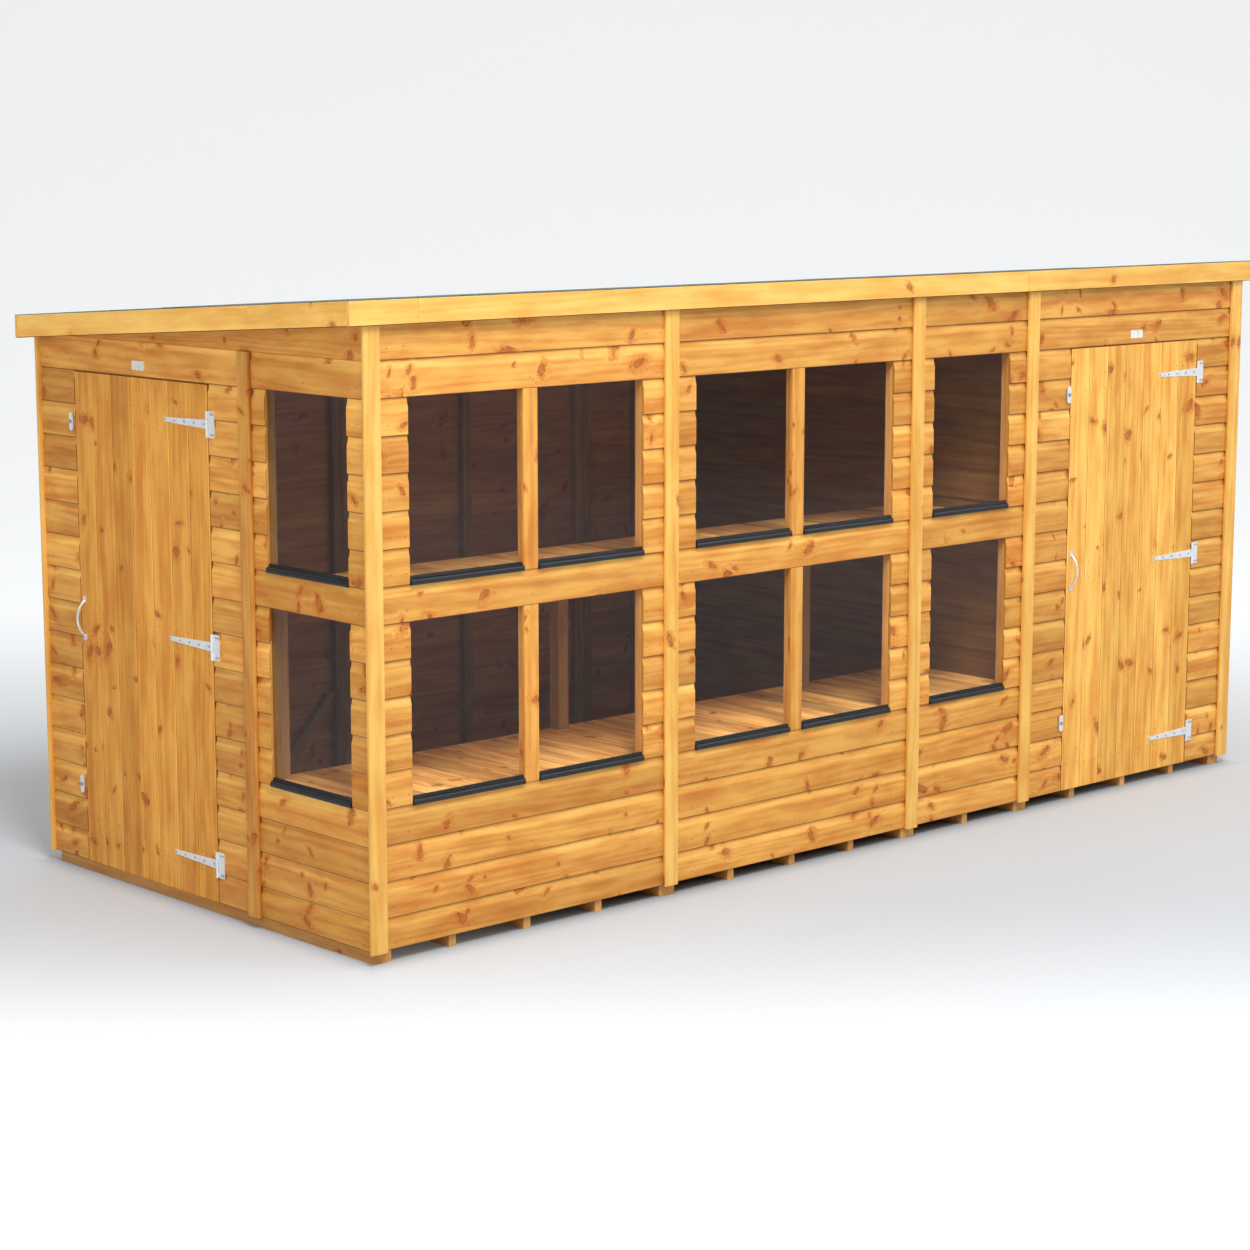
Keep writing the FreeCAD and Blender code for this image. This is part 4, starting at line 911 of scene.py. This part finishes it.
def make_corners_and_strips(sizes):
    """Upright trims on the corners, and strips on the joints of the panels, on all four walls."""
    front = WALLS["front"]
    back = WALLS["back"]
    _, (face, _), (low, top) = front.reach("corner_trims")
    back_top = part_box("back_cladding")[1][2]
    tops = ((front, top), (back, back_top - sizes.back_room))

    def add_strips(stock, wall, middles, width, high):
        profile = oblong(0.0, width, face, 0.0, sizes.trim_round, 5)
        for middle in middles:
            stock.upright(wall, middle - width / 2.0, low, high, profile, sizes.edge)

    stock = Stock(200)
    for wall, high in tops:
        left, right = wall.reach("corner_trims")[0]
        half = sizes.trim_width / 2.0
        add_strips(stock, wall, (left + half, right - half), sizes.trim_width, high)
    stock.piece("corner_boards", "trim", ["corner_trims"])

    joints = [front.reach(node)[0][1] for node in ("front_cladding_1", "front_cladding_2")]
    joints.append((front.reach("front_cladding_3")[0][1] + front.reach("front_door_cladding")[0][0]) / 2.0)
    stock = Stock(201)
    for (wall, high), middles in zip(tops, (joints, [FACE_RIGHT - FACE_LEFT - spot for spot in joints])):
        add_strips(stock, wall, middles, sizes.strip_width, high)
    stock.piece("joint_boards", "trim", ["joint_strips"])

    stock = Stock(203)
    for side, node in (("left", "left_door_cladding"), ("right", "left_window_cladding")):
        add_strips(stock, WALLS[side], [WALLS[side].reach(node)[0][1]], sizes.strip_width, back_top)
    stock.piece("side_joint_boards", "shiplap")


def make_mullions(sizes):
    """Cover strips on the mullions, level with the wall boards."""
    stock = Stock(202)
    profile = oblong(0.0, sizes.mullion, 0.0, sizes.board_thk, sizes.edge)
    for panel in (panel for panel in PANELS if panel.columns == 2):
        wall, start, end, _ = laid_out(panel, sizes)
        left = (start + end - sizes.mullion) / 2.0
        for first, last in WINDOW_COURSES:
            stock.upright(wall, left, seam(sizes, first), seam(sizes, last), profile, sizes.edge)
    stock.piece("mullion_boards", "shiplap", ["mullion_strips"])


def make_wedges(sizes):
    """Tapered boards over the side walls: an upright section whose height falls evenly from front to back."""
    for seed, node in enumerate(("left_wedge", "cross_wedge", "right_wedge"), 210):
        low, high = corners_of(node)
        wide, run, tall = high - low
        stops = np.linspace(0.0, 1.0, 5)
        heights = tall - ROOF_FALL * run * stops
        sides = oblong(0.0, wide, 0.0, 1.0, sizes.edge)
        rings = np.zeros((1, len(stops), len(sides), 3))
        rings[..., 0] = low[0] + sides[:, 0]
        rings[..., 1] = low[1] + run * stops[:, None]
        rings[..., 2] = low[2] + sides[:, 1] * heights[:, None]
        stock = Stock(seed)
        stock.loft(rings, run * stops, girth_of(rings[0, 0]))
        stock.piece(node + "_board", "shiplap", [node])


def fascia_profile(sizes, high):
    """Rounded oblong with extra points near its long edges, and its painted light: painted shadow along the
    lower edge, painted highlight along the upper one."""
    ease = sizes.fascia_round
    thick = sizes.fascia_thk
    band = 2.5 * ease
    corners = [(0.0, 0.0), (thick, 0.0), (thick, band), (thick, high - band), (thick, high), (0.0, high),
               (0.0, high - band), (0.0, band)]
    profile = eased(corners, ease)
    up = profile[:, 1]
    return profile, np.where(up < 1.2 * ease, 0.12, np.where(up > high - 1.2 * ease, 1.12, 1.0))


def make_level_fascias(sizes):
    """Boards along the front and back edge of the roof, each in three lengths."""
    gap = sizes.fascia_gap
    middle_joints = (FACE_LEFT + sizes.fascia_short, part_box("front_cladding_3")[1][0] - sizes.fascia_back)
    for seed, node in enumerate(("front_fascia", "back_fascia"), 220):
        low, top = corners_of(node)
        profile, shade = fascia_profile(sizes, top[2] - low[2])
        joints = np.array([low[0] - gap, *middle_joints, top[0] + gap])
        starts = np.array([(joint + gap, low[1], low[2]) for joint in joints[:-1]])
        runs = np.diff(joints) - 2.0 * gap
        stock = Stock(seed)
        stock.sticks(starts, EAST, NORTH, UP, runs, profile, sizes.plank_end, shade)
        stock.piece(node + "_board", "trim", [node])


def make_sloped_fascias(sizes):
    """Boards along both sides of the roof, each in two lengths, which fall evenly to the back."""
    gap = sizes.fascia_gap
    joint = FACE_FRONT + sizes.fascia_side
    profile, shade = fascia_profile(sizes, sizes.fascia_height)
    for seed, node in enumerate(("left_fascia", "right_fascia"), 230):
        low, top = corners_of(node)
        foot = top[2] - sizes.fascia_height
        fall = (foot - low[2]) / (top[1] - low[1])
        ends = ((low[1], joint - gap), (joint + gap, top[1]))
        starts = np.array([(low[0], near, foot - fall * (near - low[1])) for near, far in ends])
        runs = np.diff(ends).ravel()
        stock = Stock(seed)
        stock.sticks(starts, NORTH - fall * UP, EAST, UP, runs, profile, sizes.plank_end, shade)
        stock.piece(node + "_board", "trim", [node])


# Doors and windows
def door_pitch(sizes, along):
    """Distance from one door board to the next."""
    return (along[1] - along[0] + sizes.board_play) / DOOR_BOARDS


class SHED_OT_doors(bpy.types.Operator):
    """Vee-jointed door boards, and the ledges behind them"""

    bl_idname = "shed.doors"
    bl_label = "Doors"

    def execute(self, context):
        sizes = context.scene.shed_sizes
        for seed, (door, side) in enumerate(DOORS, 300):
            wall = WALLS[side]
            along, inward, up = wall.reach(door + "_boards")
            pitch = door_pitch(sizes, along)
            profile, shade = plank_profile(sizes, pitch - sizes.board_play, inward[1] - inward[0])
            lefts = along[0] + pitch * np.arange(DOOR_BOARDS)
            stock = Stock(seed)
            stock.upright(wall, lefts, *up, profile, sizes.plank_end, shade, inward[0])
            stock.piece(door + "_planks", door + "_boards", [door + "_boards"], door)
            along, inward, up = wall.reach(door + "_ledges")
            profile = oblong(0.0, inward[1] - inward[0], 0.0, sizes.ledge_height, sizes.ledge_round)
            feet = up[0] + sizes.hinge_pitch * np.arange(HINGES)
            stock = Stock(seed + 10)
            stock.level(wall, *along, feet, profile, sizes.ledge_round, inward=inward[0])
            stock.piece(door + "_battens", "frame_timber", [door + "_ledges"], door)
        return {"FINISHED"}


def plank_profile(sizes, face, thick):
    """Section of a door board, along and inward, with a chamfer on both front edges, and its painted light:
    painted highlight where the chamfers meet the face, and painted shade deep in the joints."""
    vee = sizes.door_vee
    corners = [(0.0, vee), (vee, 0.0), (2.0 * vee, 0.0), (face - 2.0 * vee, 0.0), (face - vee, 0.0),
               (face, vee), (face, thick), (0.0, thick)]
    profile = eased(corners, sizes.board_end, 3)
    edge = np.minimum(profile[:, 0], face - profile[:, 0])
    shade = np.where(np.abs(edge - vee) < 0.35 * vee, 1.20, np.where(edge < 0.35 * vee, 0.42, 1.0))
    return profile, shade


# Corners of a drip sill's section, inward and up, and the rounding of each
SILL_CORNERS = np.array([
    (0.01225, 0.0250, 0.0006),
    (0.01225, 0.0, 0.0006),
    (0.0052, 0.0, 0.0006),
    (0.0052, -0.0030, 0.0006),
    (-0.0070, -0.0030, 0.0045),
    (-0.0070, 0.0155, 0.0090),
    (0.0062, 0.0170, 0.0008),
    (0.0072, 0.0250, 0.0016),
])


class SHED_OT_windows(bpy.types.Operator):
    """Drip sills with a round nose under a low lip, and clear finish for the panes"""

    bl_idname = "shed.windows"
    bl_label = "Windows"

    def execute(self, context):
        sizes = context.scene.shed_sizes
        profile = eased(SILL_CORNERS[:, :2], SILL_CORNERS[:, 2], 7)
        stock = Stock(320)
        for panel in WINDOW_PANELS:
            wall, start, end, margin = laid_out(panel, sizes)
            for left, right in sill_spans(sizes, start + margin, end - margin, panel.columns):
                for first, last in WINDOW_COURSES:
                    stock.level(wall, left, right, seam(sizes, first), profile, sizes.board_end)
        stock.piece("sill_strips", "drip_sill", ["drip_sills"])
        dress("pane", "front_panes", "left_panes")
        return {"FINISHED"}


def sill_spans(sizes, left, right, columns):
    """Ends of the sills side by side in an opening, clear of its sides and of a mullion."""
    play = sizes.sill_play
    if columns == 1:
        return [(left + play, right - play)]
    middle = (left + right) / 2.0
    half = sizes.mullion / 2.0
    return [(left + play, middle - half - play), (middle + half + play, right - play)]


# Hardware
class SHED_OT_hardware(bpy.types.Operator):
    """Zinc finish for hinges, handles and turn buttons, and domed screws"""

    bl_idname = "shed.hardware"
    bl_label = "Hardware"

    def execute(self, context):
        sizes = context.scene.shed_sizes
        dress("zinc", "hinge_plates")
        dress("screw_zinc", "hinge_pins", "button_pivots")
        dress("blank_plate", "blank_plates")
        inset = sizes.screw_inset
        step = (sizes.strap_length - sizes.strap_tip - 2.0 * inset) / (STRAP_SCREWS - 1)
        heights = hinge_heights(sizes)
        rise = sizes.plate_height / 2.0 - inset
        plate_heights = np.concatenate([heights - rise, heights + rise])
        fixed = Stock(340)
        for seed, (door, side) in enumerate(DOORS, 341):
            dress("handle_zinc", door + "_handle")
            dress("zinc", door + "_straps", door + "_button_lower", door + "_button_upper")
            wall = WALLS[side]
            hinge = wall.reach(door + "_cladding")[0][1] - sizes.door_margin - sizes.door_gap / 2.0
            moving = Stock(seed)
            along = hinge - 2.0 * inset - step * np.arange(STRAP_SCREWS)
            add_screws(moving, sizes, wall, *np.meshgrid(along, heights))
            moving.piece(door + "_strap_domes", "screw_zinc", [door + "_strap_screws"], door)
            along = np.array([hinge + 2.0 * inset, hinge + sizes.plate_width - inset / 2.0])
            add_screws(fixed, sizes, wall, *np.meshgrid(along, plate_heights))
        fixed.piece("plate_domes", "screw_zinc", ["hinge_plate_screws"])
        return {"FINISHED"}


def hinge_heights(sizes):
    return sizes.hinge_low + sizes.hinge_pitch * np.arange(HINGES)


def add_studs(stock, wall, along, inward, up, radius, out, sides, girth):
    """Round heads: circles round a line that points out of the wall, one for each radius and height."""
    angle = np.linspace(0.0, 2.0 * math.pi, sides, endpoint=False)
    along = along.ravel()[:, None, None] + radius[:, None] * np.cos(angle)
    up = up.ravel()[:, None, None] + radius[:, None] * np.sin(angle)
    rings = wall.at(along, inward - out[:, None], up)
    stock.loft(rings, np.cumsum(radius), np.linspace(0.0, girth, sides + 1))


def add_screws(stock, sizes, wall, along, up):
    """Domed screw heads with a shank: the radius follows a quarter ellipse from the edge to a small flat at
    the crown."""
    tilt = np.linspace(0.0, 0.95 * math.pi / 2.0, 5)
    radius = np.concatenate([[sizes.screw_shank, sizes.screw_shank], sizes.screw_head * np.cos(tilt)])
    out = np.concatenate([[0.0, sizes.steel_thk], sizes.steel_thk + sizes.screw_rise * np.sin(tilt)])
    add_studs(stock, wall, along, 0.0, up, radius, out, 12, 0.02)


# Nails: share of the head's radius and height over the wood, from the sunk foot to the flat crown
NAIL_RADII = np.array([1.0, 1.0, 0.7])
NAIL_HEIGHTS = np.array([-0.001, 0.00015, 0.0004])


class SHED_OT_nails(bpy.types.Operator):
    """Nail heads along the studs and the door ledges"""

    bl_idname = "shed.nails"
    bl_label = "Nails"

    def execute(self, context):
        sizes = context.scene.shed_sizes
        stock = Stock(360)
        for panel in PANELS:
            wall, start, end, margin = laid_out(panel, sizes)
            beside = margin - sizes.nail_inner
            lines = [start + sizes.nail_outer, start + beside, end - beside, end - sizes.nail_outer]
            courses = np.arange(panel.courses)
            add_nails(stock, sizes, wall, lines, 0.0, seam(sizes, courses) + sizes.nail_row)
            if panel.columns:
                whole = np.setdiff1d(courses, [np.arange(*rows) for rows in WINDOW_COURSES])
                add_nails(stock, sizes, wall, [(start + end) / 2.0], 0.0, seam(sizes, whole) + sizes.nail_row)
        stock.piece("wall_nails", "nail_steel")
        for seed, (door, side) in enumerate(DOORS, 365):
            wall = WALLS[side]
            along, inward, _ = wall.reach(door + "_boards")
            pitch = door_pitch(sizes, along)
            edges = np.array([sizes.nail_plank, pitch - sizes.nail_plank])
            lines = along[0] + pitch * np.arange(DOOR_BOARDS)[:, None] + edges
            rows = hinge_heights(sizes)[:, None] + np.array([-sizes.nail_ledge, sizes.nail_ledge])
            stock = Stock(seed)
            add_nails(stock, sizes, wall, lines.ravel(), inward[0], rows.ravel())
            stock.piece(door + "_nails", "nail_steel", body=door)
        return {"FINISHED"}


def add_nails(stock, sizes, wall, lines, inward, rows):
    """Low nail heads where upright lines meet level rows, shaken a little from their place."""
    along, up = (spots.ravel() for spots in np.meshgrid(lines, rows))
    shake = stock.random.normal(0.0, sizes.nail_shake, (2, len(along)))
    radius = sizes.nail_head * NAIL_RADII
    add_studs(stock, wall, along + shake[0], inward, up + shake[1], radius, NAIL_HEIGHTS, 8, 0.01)


# Roof, frames and bench
class SHED_OT_roof(bpy.types.Operator):
    """Waved roof felt in two lengths, and finishes for boards and rafters"""

    bl_idname = "shed.roof"
    bl_label = "Roof"

    def execute(self, context):
        sizes = context.scene.shed_sizes
        low, high = corners_of("roof_felt")
        middle = (low[1] + high[1]) / 2.0
        half = sizes.felt_lap / 2.0
        stock = Stock(400)
        add_felt(stock, sizes, low, high, middle - half, high[1], 0.0)
        add_felt(stock, sizes, low, high, low[1], middle + half, sizes.felt_lift)
        stock.piece("felt_sheets", "roof_felt", ["roof_felt"])
        dress("roof_boards", "roof_boards")
        dress("inner_timber_y", "rafters")
        return {"FINISHED"}


def add_felt(stock, sizes, low, high, near, far, lift):
    """Thin sheet on the slope of the roof: height falls evenly to the back, with slow waves that die out at
    the edges, a lift over the lower sheet near the lap, and a thickness below."""
    x = np.linspace(low[0], high[0], 150)
    across, back = np.meshgrid(x, np.linspace(near, far, 26), indexing="ij")
    phase = stock.random.uniform(0.0, 6.28, 4)
    wave = (np.sin(across * 7.1 + phase[0]) * np.sin(back * 3.3 + phase[1])
            + 0.6 * np.sin(across * 17.3 + phase[2] + back * 2.0) + 0.4 * np.sin(across * 31.0 + phase[3]))
    edge = np.minimum(np.minimum(back - near, far - back), np.minimum(across - low[0], high[0] - across))
    calm = np.clip(edge / sizes.felt_rim, 0.0, 1.0)
    over = lift * np.clip((back - far + sizes.felt_flat) / sizes.felt_climb + 1.0, 0.0, 1.0)
    top = high[2] - ROOF_FALL * (back - low[1]) + sizes.felt_wave * 0.4 * (wave + 1.6) * calm + over
    upper = np.stack([across, back, top], axis=-1)
    under = upper - sizes.felt_thk * UP
    rings = np.concatenate([upper, under[:, ::-1]], axis=1)[None]
    stock.loft(rings, x - low[0], np.linspace(0.0, 2.0 * (far - near), rings.shape[2] + 1))


class SHED_OT_frames(bpy.types.Operator):
    """Studs, rails and braces behind the wall boards, one piece a panel or wall"""

    bl_idname = "shed.frames"
    bl_label = "Frames"

    def execute(self, context):
        sizes = context.scene.shed_sizes
        for panel in WINDOW_PANELS:
            stock = Stock(400 + panel.seed)
            add_window_frame(stock, sizes, panel)
            # The frame behind the left window takes the darker far finish: painted shade
            finish = "frame_timber" if panel.side == "front" else "far_frame_timber"
            node = panel.name.format("frame")
            stock.piece(node + "_timber", finish, [node])
        for seed, (door, side) in enumerate(DOORS, 510):
            stock = Stock(seed)
            add_door_frame(stock, sizes, door, WALLS[side])
            stock.piece(door + "_frame_timber", "frame_timber", [door + "_frame"])
        for seed, side in enumerate(("right", "back", "cross"), 520):
            wall = WALLS[side]
            _, inward, up = wall.reach(side + "_frame")
            depth = inward[1] - inward[0]
            stock = Stock(seed)
            for near, far in plain_spans(side):
                low, high = add_ring(stock, sizes, wall, near, far, up[1], depth)
                add_timbers(stock, sizes, wall, depth, [((near + far - sizes.stud) / 2.0, low, high)])
                if side == "back" and far - near > sizes.braced_panel:
                    add_brace(stock, sizes, wall, near + sizes.panel_gap + sizes.stud, low)
            # Frames of the plain walls take the darker far finish: painted shade
            stock.piece(side + "_frame_timber", "far_frame_timber", [side + "_frame"])
        return {"FINISHED"}


def add_timbers(stock, sizes, wall, depth, uprights, rails=(), width=None, inward=None):
    """Frame timbers behind the boards: rounded oblong sections carried straight up, from low to high, or
    level, from one distance along the wall to another."""
    wide = width or sizes.stud
    front = inward or sizes.board_thk
    profile = oblong(0.0, wide, front, front + depth, sizes.edge)
    for along, low, high in uprights:
        stock.upright(wall, along, low, high, profile, sizes.timber_end)
    profile = oblong(front, front + depth, 0.0, wide, sizes.edge)
    for near, low, far in rails:
        stock.level(wall, near, far, low, profile, sizes.timber_end)


def add_ring(stock, sizes, wall, start, end, top, depth):
    """Bottom rail, top rail and the two end studs of a panel. Gives the lower and upper end of its studs."""
    low = FLOOR_TOP + sizes.stud
    high = top - sizes.stud
    left = start + sizes.panel_gap
    right = end - sizes.panel_gap
    add_timbers(stock, sizes, wall, depth, [(left, low, high), (right - sizes.stud, low, high)],
                [(left, FLOOR_TOP, right), (left, high, right)])
    return low, high


def add_window_frame(stock, sizes, panel):
    """Ring with two jambs, a sill and a head rail for each row of panes, and a stud under the middle."""
    wall, start, end, margin = laid_out(panel, sizes)
    top = wall.reach(panel.name.format("cladding"))[2][1]
    depth = wall.reach(panel.name.format("frame"))[1][1] - sizes.board_thk
    low, high = add_ring(stock, sizes, wall, start, end, top, depth)
    stud = sizes.stud
    left = start + margin
    right = end - margin
    levels = [(seam(sizes, first), seam(sizes, last)) for first, last in WINDOW_COURSES]
    rails = [(left, height, right) for sill, head in levels for height in (sill - stud, head)]
    middle = (start + end) / 2.0
    uprights = [(left - stud, low, high), (right, low, high), (middle - stud / 2.0, low, levels[0][0] - stud)]
    add_timbers(stock, sizes, wall, depth, uprights, rails)
    if panel.columns == 2:
        uprights = [(middle - sizes.mullion_stud / 2.0, sill, head) for sill, head in levels]
        add_timbers(stock, sizes, wall, sizes.mullion_depth, uprights, width=sizes.mullion_stud,
                    inward=sizes.board_thk + sizes.glass_room)


def add_door_frame(stock, sizes, door, wall):
    """End studs, jambs that lap behind the door, a head, a top rail, and short rails beside the door."""
    (start, end), _, (_, top) = wall.reach(door + "_cladding")
    depth = wall.reach(door + "_frame")[1][1] - sizes.board_thk
    stud = sizes.stud
    low = FLOOR_TOP + stud
    high = top - stud
    left = start + sizes.panel_gap
    right = end - sizes.panel_gap
    near = start + sizes.door_margin + sizes.door_lap - stud
    far = end - sizes.door_margin - sizes.door_lap
    head = seam(sizes, DOOR_COURSES) - sizes.door_lap
    uprights = [(left, low, high), (right - stud, low, high), (near, FLOOR_TOP, high), (far, FLOOR_TOP, high)]
    rails = [(left, high, right), (left, FLOOR_TOP, near), (far + stud, FLOOR_TOP, right),
             (near + stud, head, far)]
    add_timbers(stock, sizes, wall, depth, uprights, rails)


def add_brace(stock, sizes, wall, along, low):
    """Leaning brace: a level oblong section that moves back along the wall while it rises one run."""
    run = sizes.brace_run
    depth = wall.reach("back_frame")[1][1] - sizes.board_thk
    section = oblong(0.0, sizes.stud, sizes.board_thk, sizes.board_thk + depth, sizes.edge)
    rise = np.array([0.0, run])[:, None]
    shift = (run - sizes.stud) * (1.0 - rise / run)
    rings = wall.at(along + shift + section[:, 0], section[:, 1], low + rise)
    stock.loft(rings[None], rise.ravel() * math.sqrt(2.0), girth_of(section))


class SHED_OT_inside(bpy.types.Operator):
    """Finishes for floor, cross wall and bench"""

    bl_idname = "shed.inside"
    bl_label = "Floor and bench"

    def execute(self, context):
        # Legs and cross wall take darker copies of the wood: painted shade
        dress("leg_timber", "bench_legs")
        dress("far_boards", "cross_cladding")
        dress("inner_timber_y", "floor_joists")
        dress("inner_timber_x", "bench_rails")
        dress("floor_boards", "floor_boards")
        dress("bench_boards", "lower_shelf_boards", "work_top_boards")
        return {"FINISHED"}


# Studio lights: name, which is also the setting of the power, then place, size and tint
LIGHTS = (
    ("key", (-3.8, -6.6, 10.2), 3.6, (1.0, 1.0, 1.0)),
    ("fill", (6.5, -8.0, 6.0), 6.0, (1.0, 1.0, 1.0)),
    ("side", (-9.5, -3.0, 3.4), 4.0, (1.0, 0.90, 0.76)),
)
LIGHT_TARGET = np.array([0.0, 0.0, 0.9])


class SHED_OT_stage(bpy.types.Operator):
    """Pale floor that sweeps up into a backdrop, soft lights and the camera"""

    bl_idname = "shed.stage"
    bl_label = "Stage"

    def execute(self, context):
        stage = context.scene.shed_stage
        make_backdrop(stage)
        make_lights(context.scene, stage)
        make_camera(context.scene, stage)
        context.scene.view_settings.view_transform = "Standard"
        return {"FINISHED"}


def view_axes(stage):
    """Level forward and right directions of the camera."""
    turn = stage.camera_turn
    return np.array([math.sin(turn), math.cos(turn), 0.0]), np.array([math.cos(turn), -math.sin(turn), 0.0])


def make_backdrop(stage):
    """Floor that runs back level, bends up on a quarter circle and ends as an upright wall."""
    forward, right = view_axes(stage)
    angle = np.linspace(0.0, math.pi / 2.0, 24)
    depth = np.concatenate([[-stage.front, 0.0], stage.bend + stage.bend * np.sin(angle), [2.0 * stage.bend]])
    rise = np.concatenate([[0.0, 0.0], stage.bend - stage.bend * np.cos(angle), [stage.height]])
    side = stage.breadth * np.linspace(-0.5, 0.5, 9)
    points = depth[:, None, None] * forward + side[None, :, None] * right + rise[:, None, None] * UP
    index = np.arange(points[..., 0].size).reshape(points.shape[:2])
    faces = np.stack([index[:-1, :-1], index[:-1, 1:], index[1:, 1:], index[1:, :-1]], axis=-1)
    mesh = bpy.data.meshes.new("backdrop")
    mesh.from_pydata(points.reshape(-1, 3), [], faces.reshape(-1, 4).tolist())
    backdrop_finish(stage, forward)
    add_smooth(mesh, "backdrop")


def backdrop_finish(stage, forward):
    """Pale floor with a painted contact shadow under the shed, and a painted glow of its own behind the shed
    and near the camera, which leaves the floor near the shed darker.
    """
    tree, shader = new_finish("backdrop")
    east, north, _ = object_place(tree).parts()
    depth = east * float(forward[0]) + north * float(forward[1])
    lit = depth.ease(0.0, 5.0).math("MAXIMUM", depth.ease(-4.4, -1.2, 1.3, 0.0))
    glow = joined(*(lit * part for part in (1.035, 1.0, 0.955)))
    feed_all(shader, Base_Color=tinted(stage.floor, contact_shadow(east, north)), Roughness=0.9,
             Specular_IOR_Level=0.1, Emission_Color=glow, Emission_Strength=stage.glow)


def contact_shadow(east, north):
    """Share of light on the floor: dark under the shed, full a hand's width outside its walls. The distance
    is that to the nearest wall, negative inside."""
    beside = (east - (FACE_LEFT + FACE_RIGHT) / 2.0).math("ABSOLUTE") - (FACE_RIGHT - FACE_LEFT) / 2.0
    before = (north - (FACE_FRONT + FACE_BACK) / 2.0).math("ABSOLUTE") - (FACE_BACK - FACE_FRONT) / 2.0
    return beside.math("MAXIMUM", before).ease(-0.16, 0.10, 0.10, 1.0)


def make_lights(scene, stage):
    """Even light, brighter from above and to the camera, and area lights aimed at the shed."""
    world = bpy.data.worlds.new("studio")
    world.use_nodes = True
    tree = world.node_tree
    overhead = Term(add_node(tree, "TexCoord").outputs["Generated"]).parts()[2]
    seen = Term(add_node(tree, "LightPath").outputs["Is Camera Ray"])
    lit = overhead.ease(-0.1, 0.95, 0.28, 1.0).math("MAXIMUM", seen * 1.2)
    feed_all(tree.nodes["Background"].inputs, Color=joined(lit, lit, lit), Strength=stage.sky)
    scene.world = world
    for name, spot, size, tint in LIGHTS:
        light = bpy.data.lights.new(name, "AREA")
        light.energy = getattr(stage, name)
        light.size = size
        light.color = tint
        aim(add_object(name, light), np.array(spot), LIGHT_TARGET)


def aim(item, spot, target):
    """Point an object's -Z at a target, with its Y as upright as it can be."""
    back = (spot - target) / np.linalg.norm(spot - target)
    right = np.cross(UP, back)
    right /= np.linalg.norm(right)
    turn = np.eye(4)
    turn[:3] = np.stack([right, np.cross(back, right), back, spot], axis=1)
    item.matrix_world = turn.T.tolist()


def make_camera(scene, stage):
    camera = bpy.data.cameras.new("camera")
    camera.lens = stage.lens
    camera.sensor_width = stage.frame_width
    camera.clip_end = 200.0
    scene.camera = add_object("camera", camera)
    forward = view_axes(stage)[0] * math.cos(stage.camera_tilt) - UP * math.sin(stage.camera_tilt)
    spot = np.array(stage.camera_spot)
    aim(scene.camera, spot, spot + forward)


class SHED_PT_panel(bpy.types.Panel):
    """Sizes, colours and steps of the potting shed"""

    bl_label = "Potting Shed"
    bl_idname = "SHED_PT_panel"
    bl_space_type = "VIEW_3D"
    bl_region_type = "UI"
    bl_category = "Potting Shed"

    def draw(self, context):
        for step in STEPS:
            self.layout.operator(step.bl_idname)
        for group, _ in GROUPS:
            box = self.layout.box()
            settings = getattr(context.scene, group)
            for name in settings.__annotations__:
                box.prop(settings, name)


STEPS = (SHED_OT_wall_boards, SHED_OT_trims, SHED_OT_doors, SHED_OT_windows, SHED_OT_hardware, SHED_OT_nails,
         SHED_OT_roof, SHED_OT_frames, SHED_OT_inside, SHED_OT_stage)
GROUPS = (("shed_sizes", ShedSizes), ("shed_colours", ShedColours), ("shed_stage", ShedStage))


def register():
    for name, group in GROUPS:
        bpy.utils.register_class(group)
        setattr(bpy.types.Scene, name, bpy.props.PointerProperty(type=group))
    for step in STEPS:
        bpy.utils.register_class(step)
    bpy.utils.register_class(SHED_PT_panel)


def unregister():
    bpy.utils.unregister_class(SHED_PT_panel)
    for step in reversed(STEPS):
        bpy.utils.unregister_class(step)
    for name, group in reversed(GROUPS):
        delattr(bpy.types.Scene, name)
        bpy.utils.unregister_class(group)


def main():
    register()
    make_finishes(bpy.context.scene.shed_colours, bpy.context.scene.shed_sizes)
    bpy.ops.shed.wall_boards()
    bpy.ops.shed.trims()
    bpy.ops.shed.doors()
    bpy.ops.shed.windows()
    bpy.ops.shed.hardware()
    bpy.ops.shed.nails()
    bpy.ops.shed.roof()
    bpy.ops.shed.frames()
    bpy.ops.shed.inside()
    bpy.ops.shed.stage()


if __name__ == "__main__":
    main()
